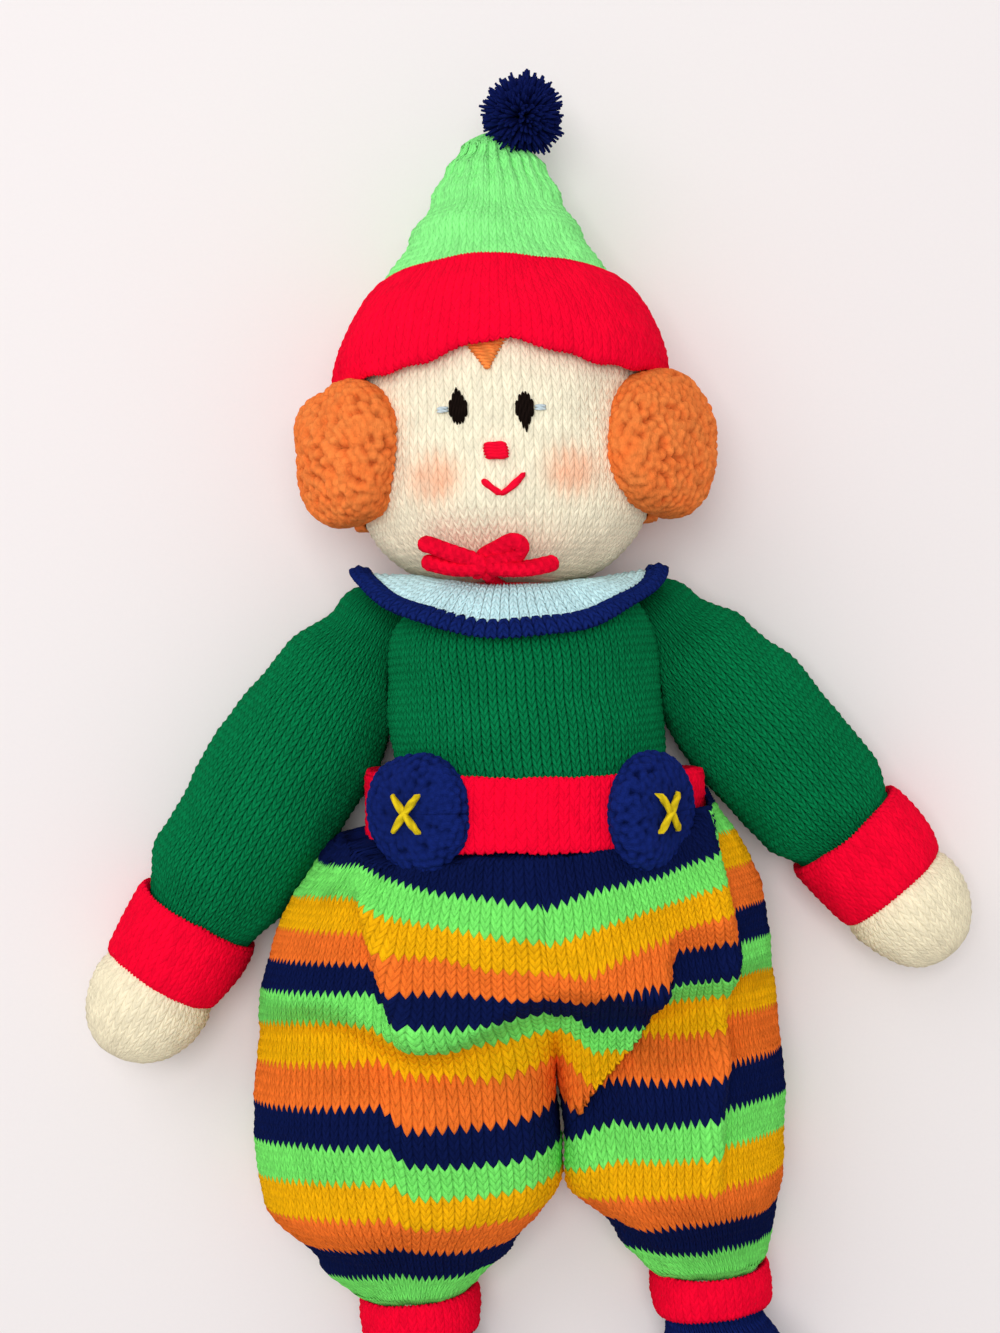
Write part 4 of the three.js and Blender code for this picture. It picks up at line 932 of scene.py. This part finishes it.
HAND = yarn("hand_cream", linear(255, 242, 209), deep=0.84, speck=0.12)
SLEEVE_SHARE = [(0, 0), (0.17, 0.6), (0.4, 0.95), (0.55, 1), (0.83, 0.9), (1, 0.15)]
COURSE = 2.5
CAP, CAP_RADIUS = 12, 12.5
WRIST_RADIUS = 15.0
for name, side, level, degrees, sleeve, radius in (
    ("right", -1, 25, -31, 100, 23), ("left", 1, 19, 41, 82, 21.5)):
    arm = BODY @ laid(side * 43.25, level, degrees - BODY_TURN)
    lying = max(radius, 19.5) - 0.5
    wrist = sleeve + 10.5

    def arm_height(s):
        return 23 + (lying - 23) * ease(0, sleeve * 0.45, s)

    def sleeve_radius(s):
        start = CAP_RADIUS + (WRIST_RADIUS - CAP_RADIUS) * np.clip(s, 0, None) / wrist
        full = start + (radius - start) * between(SLEEVE_SHARE, np.clip(s / (sleeve + 3), 0, 1))
        return np.where(s < 0, CAP_RADIUS * np.sqrt(np.clip(1 - (s / CAP) ** 2, 0.0013, None)), full)

    s = np.concatenate([np.linspace(wrist, 0, 200), -CAP * np.sin(np.linspace(0, np.pi / 2, 60))[1:]])
    sleeve_shape = tube(-s, 0, arm_height(s), sleeve_radius(s), sleeve_radius(s))
    courses = int(sleeve_shape.length / COURSE)
    made = knit(f"sleeve_{name}", sleeve_shape, 56, courses, arm, GREEN, seed=37 + side, lump=0.8,
                press=beside_torso(arm, 0.6))
    fit(made, f"arm_{name}", f"sleeve_{name}")

    start = sleeve + 14.7
    t = np.sin(np.linspace(0, np.pi / 2, 120))
    hand_r = (WRIST_RADIUS + 3.6 * ease(0, 0.4, t)) * np.maximum(0.03, swell(t, 3.2))
    hand_s = np.concatenate([start + 33.3 * t[::-1], [wrist + 0.4]])
    hand_r = np.concatenate([hand_r[::-1], [WRIST_RADIUS]])
    hand_shape = tube(-hand_s, 0, arm_height(hand_s), hand_r, hand_r)
    courses = int(hand_shape.length / COURSE)
    made = knit(f"hand_{name}", hand_shape, 44, courses, arm, HAND, seed=41 + side)
    fit(made, f"arm_{name}", f"hand_{name}")

    within = (s < start) & (s > -8)
    whole_s = np.concatenate([hand_s[:-1], s[within]])
    whole_r = np.concatenate([hand_r[:-1], sleeve_radius(s[within])])
    whole = tube(-whole_s, 0, arm_height(whole_s), whole_r, whole_r)
    press = beside_torso(arm, KNIT + 2.2)
    stuffing(f"arm_stuffing_{name}", f"arm_{name}", lambda u, v: press(whole(u, v)), arm, KNIT + 1.2, 43)

    cuff_t = np.linspace(0, 1, 40)
    cuff_r = 19.5 - 1.6 * (1 - cuff_t) + 0.9 * np.sin(np.pi * cuff_t)
    cuff_s = sleeve + np.concatenate([[19, 20.8, 21.6], 21 - 21 * cuff_t, [-0.9, -0.4, 1.5]])
    cuff_r = np.concatenate([[15.0, 15.6, 16.7], cuff_r, [18.8, 17.2, 16.4]])
    cuff_shape = tube(-cuff_s, 0, lying, cuff_r, cuff_r)
    made = knit(f"cuff_{name}", cuff_shape, 46, 12, arm, RED, lift=0.55, seed=47 + side, lump=0.6, ring=True)
    fit(made, f"arm_{name}", f"cuff_{name}")


# Waistband: a red knitted band, folded double, that holds the trousers round the body.
# It is sewn down all round and lies a little askew.
BAND_LEVEL = -32.5
BAND_HALF_WIDTH, BAND_HALF_DEPTH, BAND_MIDDLE = 48.5, 38.5, 38
BAND = BODY @ laid(0, -30.3, -4.6) @ laid(0, -BAND_LEVEL, 0)
BAND_SECTION = [(-42.0, -3.0), (-43.4, -2.0), (-43.6, -0.7), (-42.6, 0.2), (-33, 0.5), (-23.4, 0.2),
                (-22.2, -0.6), (-22.4, -2.0), (-24, -3.0)]
band_y, band_out = section_at(BAND_SECTION, np.linspace(0, 1, 160))
band_shape = tube(band_y, 0, BAND_MIDDLE, BAND_HALF_WIDTH + band_out, BAND_HALF_DEPTH + band_out)
band = knit("waistband", band_shape, 104, 12, BAND, RED, lift=0.55, seed=53, ring=True)
fit(band, "torso", "waistband")


# Trousers: two knitted halves sewn up the middle, gathered into the waistband and the ankle bands.
# The cloth bags over the hips and hangs in folds, so its stripes of four rows break and bend.
def stripes(place, row):
    stripe = place.node("Math", {"operation": "FLOOR"}, {0: (row - 3) / 4})
    stripe = place.node("Math", {"operation": "MAXIMUM"}, {0: stripe, 1: 0.0})
    phase = place.node("Math", {"operation": "FLOORED_MODULO"}, {0: stripe, 1: 4.0})
    dyes = [linear(12, 24, 74), linear(128, 246, 112), linear(255, 186, 12), linear(255, 122, 44)]
    at = plain(place, dyes[0])
    for k in (1, 2, 3):
        here = place.node("Math", {"operation": "GREATER_THAN"}, {0: phase, 1: k - 0.5})
        at = place.node("Mix", {"data_type": "RGBA"}, {0: here, 6: at, 7: dyes[k]}, 2)
    return at


STRIPED = yarn("striped_knit", stripes, deep=0.66, speck=0.2, fuzz=0.7)

# Levels of each change of stripe down the cloth, at distances out from the middle seam. The first is the
# cloth's top edge, hidden in the band, and the rows below the last go evenly to the ankle. On the left
# half, distances near the outer pleat are counted from its line, which stands at PLEAT_OUT.
PLEAT_OUT = 47
RIGHT_STRIPES = {
    0: (-38, -55.8, -65.5, -73.7, -82.3, -88, -94, -103, -116.3, -128),
    17: (-36, -51.5, -61.8, -71.7, -79, -86.6, -95.3, -105.4, -118, -129),
    29: (-35, -49.6, -58.7, -67.3, -76.6, -86.4, -95.7, -102.8, -116.8, -128),
    44: (-31, -44.6, -55.2, -65.6, -76.2, -84.5, -92.1, -101.2, -115.7, -126),
    50: (-27, -41.4, -50.6, -60.2, -69, -76.9, -86.8, -97.6, -108.7, -119.4),
    76: (-25, -40.5, -50.3, -59, -67.9, -76.5, -87.2, -97.9, -108.5, -119.2)}
LEFT_STRIPES = {
    0: RIGHT_STRIPES[0],
    14: (-37, -52.3, -62.7, -70, -73.4, -82.2, -87.3, -96.6, -108.9, -120.8),
    31: (-36, -50.6, -58.5, -66.6, -72.5, -82.2, -88.8, -97.7, -108.9, -120.8),
    PLEAT_OUT: (-33, -46.5, -55.2, -63.7, -72.2, -82.2, -89, -97.7, -108.9, -120.8),
    PLEAT_OUT + 2.4: (-30, -34.4, -42.7, -52.3, -63.6, -73.4, -84.5, -95.5, -107.5, -119.7)}
# How far out each half reaches, at levels from the knee up.
RIGHT_REACH = [(-140, 91), (-119, 92), (-103, 89.5), (-85, 86), (-70.5, 82), (-60, 78), (-49.7, 71.7),
               (-40, 63), (-31.6, 53), (-25, 50)]
LEFT_REACH = [(-140, 65), (-120, 67), (-103, 66.5), (-72, 65), (-58.3, 63), (-44.5, 57.6), (-32.5, 51.3),
              (-25, 49.5)]
COURSES, WALES = 59, 80
HEM = -173.0
ANKLE_OUT = {-1: 47, 1: 40}


def stripe_level(levels_at, out, row):
    """The level of a row from the top, at a distance out from the middle seam."""
    stations = sorted(levels_at)
    last = len(levels_at[0]) - 1
    rows = np.array([0] + [7 + 4 * k for k in range(last)] + [COURSES])
    levels = [np.interp(out, stations, [levels_at[s][k] for s in stations]) for k in range(last + 1)]
    levels.append(np.full(out.shape, HEM))
    total = levels[0]
    for k in range(len(rows) - 1):
        part = np.clip((row - rows[k]) / (rows[k + 1] - rows[k]), 0, 1)
        total = total + (levels[k + 1] - levels[k]) * part
    return total


def flattened(value, low):
    """A sine or cosine, squarer on the low side, where the cloth lies on the floor."""
    return np.sign(value) * np.abs(value) ** np.where(low, 0.72, 1)


def crossing(x, y, stops):
    """How far a point lies beyond a fold's line, which runs down through its stops."""
    stops = np.asarray(stops, float)[::-1]
    return x - np.interp(y, stops[:, 1], stops[:, 0])


def step(value, width):
    """From 0 to 1 across a line, within about a width of it."""
    return 0.5 + 0.5 * np.tanh(value / width)


# Lines of the three folds, and how far the last one lies over the leg below it.
RIGHT_PLEAT = [(-52, -44), (-49, -53.4), (-46.3, -65.9), (-44.7, -75.9), (-40, -96)]
LEFT_PLEAT = [(46.5, -30), (47.5, -44), (51.6, -76.8), (46, -101.8), (41.7, -129.6), (40, -170)]
LEFT_FLAP = [(38, -62), (34.8, -72.1), (32.6, -84.4), (26.6, -95.3), (14, -108.1), (5.6, -118.9),
             (-3, -128.4)]
FLAP_LAP = 12.5


def trouser_half(side):
    """One half of the trousers. A share s runs round it from the front seam to the back one."""
    ankle = ANKLE_OUT[side]
    reach_at = np.array(RIGHT_REACH if side < 0 else LEFT_REACH)

    def place(s, y):
        """How far out and up the cloth lies, without its folds: half a broad seat that eases into a leg."""
        reach = np.interp(y, reach_at[:, 0], reach_at[:, 1])
        outside = ease(0.22, 0.4, s) * ease(1, 0.6, s)
        top = -39.5 + (6.5 if side < 0 else 12.5) * outside
        tucked = ease(top - 2.5, top, y)
        reach = reach + (45 - reach) * tucked
        sag = (13 if side < 0 else 4) * np.exp(-((s - 0.13) / 0.08) ** 2) * ease(0, 0.06, s)
        seat_t = np.clip((-43.35 - (y + sag * ease(-55, -85, y))) / 49.3, 0, 1)
        front = between([(0, 76), (0.3, 78), (0.7, 76), (1, 53)], seat_t) - 7 * tucked
        turn = np.pi * s
        low = np.cos(turn) < 0
        lap = 0.9 * (np.exp(-((s / 0.03) ** 2)) + np.exp(-(((1 - s) / 0.03) ** 2)))
        seat_x = side * (reach * flattened(np.sin(turn), low) - lap)
        seat_z = front / 2 - 0.25 + (front / 2 + 0.25) * flattened(np.cos(turn), low)

        t = np.clip((-93.35 - y) / 78.65, 0, 1)
        narrow = between([(0, 0), (0.58, 0.02), (0.85, 0.6), (1, 1)], t)
        half = reach / 2 - GAP
        a = half + (17.95 - half) * narrow
        front = between([(0, 56), (0.25, 63), (0.6, 59), (1, 35.9)], t)
        middle = side * (half - 0.3 + (ankle - half) * narrow)
        even = np.arcsin(np.sqrt(np.clip(np.sin(np.pi * s), 0, 1))) / np.pi
        turn = 2 * np.pi * np.where(s > 0.5, 1 - even, even) * 1.03 - 0.03 * np.pi
        low = np.sin(turn) < 0
        hem = 3.2 * ease(HEM + 3, HEM, y)
        a = a - hem
        leg_x = middle - side * a * flattened(np.cos(turn), low)
        middle_z = front / 2 - 0.25 + 2.25 * narrow**2
        leg_z = middle_z + (front / 2 + 0.25 - hem) * flattened(np.sin(turn), low)
        fall = ease(-86, -108, y)
        return seat_x + (leg_x - seat_x) * fall, seat_z + (leg_z - seat_z) * fall

    def surface(u, v):
        s = u if side < 0 else 1 - u
        row = COURSES * (1 - v)
        levels_at = RIGHT_STRIPES if side < 0 else LEFT_STRIPES
        y = stripe_level(levels_at, np.full(np.shape(s), 30.0), row)
        for _ in range(3):
            x = place(s, y)[0]
            out = np.abs(x)
            if side > 0:
                beyond = np.clip(PLEAT_OUT + crossing(x, y, LEFT_PLEAT), 0, 80)
                out = beyond * step(x - 30, 4) + out * step(30 - x, 4)
            out = out + (80 - out) * ease(0.5, 0.6, s) * ease(1, 0.82, s)
            y = stripe_level(levels_at, out, row)
            if side > 0:
                slip = FLAP_LAP * ease(-64, -79, y) * ease(-134, -122, y) * ease(0, 0.068, s) * (s < 0.5)
                flap = crossing(x, y - slip, LEFT_FLAP)
                y = y - slip * step(0.6 - flap, 0.7)
        x, z = place(s, y)
        upper = np.clip(z / 40 - 0.3, 0, 1)
        gather = ease(-60, -43, y) + 0.8 * ease(-150, -172, y)
        z = z + upper * gather * 0.9 * np.sin(2 * np.pi * 13 * s)
        if side < 0:
            pleat = crossing(x, y, RIGHT_PLEAT)
            deep = upper * ease(-45, -54, y) * ease(-98, -82, y)
            z = z - deep * 6.0 * step(-pleat, 1.2) + deep * 1.8 * np.exp(-((pleat - 2.5) / 3) ** 2)
            x = x - deep * 2.6 * np.exp(-((pleat - 1.2) / 2.6) ** 2)
        else:
            pleat = crossing(x, y, LEFT_PLEAT)
            deep = upper * ease(-150, -125, y)
            z = z - deep * 7.5 * step(pleat, 1.1) + deep * 1.8 * np.exp(-((pleat + 2.5) / 3) ** 2)
            x = x + deep * 2.8 * np.exp(-((pleat + 1.2) / 2.6) ** 2)
            deep = upper * ease(-66, -76, y) * ease(-134, -124, y)
            under = step(flap + 1.2, 0.7) * np.exp(-((np.maximum(flap - 10, 0) / 12) ** 2)) * ease(1, 9, x)
            z = z - deep * 5.5 * under + deep * 1.8 * np.exp(-((flap + 3.5) / 3) ** 2)
        return np.stack([x, y, np.maximum(z, 0.1)], -1)

    return surface


for name, side in SIDES:
    made = knit(f"trousers_{name}", trouser_half(side), WALES, COURSES, BODY, STRIPED, seed=59 + side,
                lump=0.8, closed=False, extra=lambda w, c: {"row": COURSES - c})
    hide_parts(f"trousers_seat_{name}", f"trouser_leg_{name}")
    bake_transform(made)


# Buttons: flat navy rounds worked in close stitch and lightly stuffed.
# Each is sewn to the waistband through its middle with a cross of yellow yarn.
YELLOW = yarn("yellow_yarn", linear(240, 208, 30), deep=0.55, knitted=False)
BUTTON_NAVY = yarn("button_navy", linear(20, 38, 112), deep=0.4, speck=0.4, fuzz=0.9, knitted=False)
BUTTON_RADIUS, BUTTON_HIGH = 16.1, 7


def dome(u, v):
    rise = np.radians(-48 + 136 * v)
    turn = -2 * np.pi * u
    r = BUTTON_RADIUS * np.maximum(0.001, np.cos(rise)) ** 0.7
    return np.stack([r * np.cos(turn), r * np.sin(turn), BUTTON_HIGH * np.sin(rise)], -1)


for name, side in SIDES:
    round_at = math.radians(42 if side < 0 else 40.5)
    at = Vector((side * BAND_HALF_WIDTH * math.sin(round_at), BAND_LEVEL,
                 BAND_MIDDLE + BAND_HALF_DEPTH * math.cos(round_at)))
    facing = round_at + (math.radians(17) if side > 0 else 0)
    out = Vector((side * BAND_HALF_DEPTH * math.sin(facing), 0, BAND_HALF_WIDTH * math.cos(facing)))
    tilt = Vector((0, 0, 1)).rotation_difference(out.normalized())
    button = BAND @ Matrix.Translation(at) @ tilt.to_matrix().to_4x4()
    made = knit(f"button_{name}", dome, 44, 12, button, BUTTON_NAVY, lift=1.5, slope=0, seed=61 + side,
                pitch=2.4)
    fit(made, "torso", f"button_{name}")
    t = np.linspace(-1, 1, 15)
    cross = []
    for turn in (50, -48):
        way = np.array([math.cos(math.radians(turn)), math.sin(math.radians(turn))])
        reach = 7.2 * t
        high = BUTTON_HIGH * np.sqrt(np.clip(1 - (reach / 19) ** 2, 0, 1)) + 1 - 1.6 * (np.abs(t) > 0.93)
        shift = 1.3 if side < 0 else -2.4
        cross.append((np.stack([reach * way[0] + shift, reach * way[1], high], -1), rounded(15, 1.05, 0.3)))
    made = lines(f"button_cross_{name}", cross, YELLOW, button)
    fit(made, "torso", f"button_cross_{name}")


# Legs: stuffed cream tubes inside the trousers, ending in navy boots.
# A red band at each ankle gathers the trouser leg over the seam.
LEG_Z = 20.2
ANKLE_RADIUS = 14
ANKLE_SECTION = [(-183, 14.4), (-184.6, 15.4), (-184.8, 16.6), (-184.2, 17.6), (-178.3, 18.1), (-173.2, 17.8),
                 (-172.0, 17.0), (-172.2, 15.8), (-174, 14.8)]
ring_y, ring_r = section_at(ANKLE_SECTION, np.linspace(0, 1, 120))
for name, side in SIDES:
    ankle = ANKLE_OUT[side]
    t = np.linspace(1, 0, 200)
    snug = np.where(t < 0.1, swell(1 - t / 0.1, 2) * 0.75 + 0.25, 1)
    leg_r = (ANKLE_RADIUS + 2 - 2 * ease(0.3, 1, t)) * snug
    leg_y = -95 - 83 * t
    leg_x = side * (22 + (ankle - 22) * np.minimum(1, t * 1.25))
    leg_shape = tube(leg_y, leg_x, LEG_Z, leg_r, leg_r)
    made = knit(f"leg_{name}", leg_shape, 36, 34, BODY, HAND, seed=67 + side, lump=0.4)
    fit(made, f"leg_{name}", f"leg_{name}")
    stuffing(f"leg_stuffing_{name}", f"leg_{name}", leg_shape, BODY, KNIT + 1.2, 71)

    at_ankle = Matrix.Translation((side * ankle, 0, LEG_Z))
    boot = BODY @ at_ankle @ Matrix.Rotation(math.radians(18 * side), 4, "Y")
    t = np.concatenate([np.linspace(1, 0.78, 60), np.linspace(0.77, 0, 140)])
    foot = ease(0.16, 0.62, t)
    sole = np.where(t > 0.78, swell((t - 0.78) / 0.2203, 3), 1)
    wide, long = ANKLE_RADIUS + 3.5 * foot, ANKLE_RADIUS + 17 * foot
    boot_shape = tube(-178.35 - 35.65 * t, 0, (long - ANKLE_RADIUS) * 0.7, np.maximum(0.5, wide * sole),
                      np.maximum(0.5, long * sole))
    courses = int(boot_shape.length / COURSE)
    made = knit(f"boot_{name}", boot_shape, 56, courses, boot, NAVY, seed=73 + side, lump=0.6)
    fit(made, f"leg_{name}", f"boot_{name}")
    stuffing(f"boot_stuffing_{name}", f"leg_{name}", boot_shape, boot, KNIT + 1.4, 79)

    ring_shape = tube(ring_y, side * ankle, LEG_Z, ring_r, ring_r)
    made = knit(f"ankle_band_{name}", ring_shape, 42, 9, BODY, RED, lift=0.55, seed=83 + side, lump=0.4,
                ring=True)
    fit(made, f"leg_{name}", f"ankle_band_{name}")
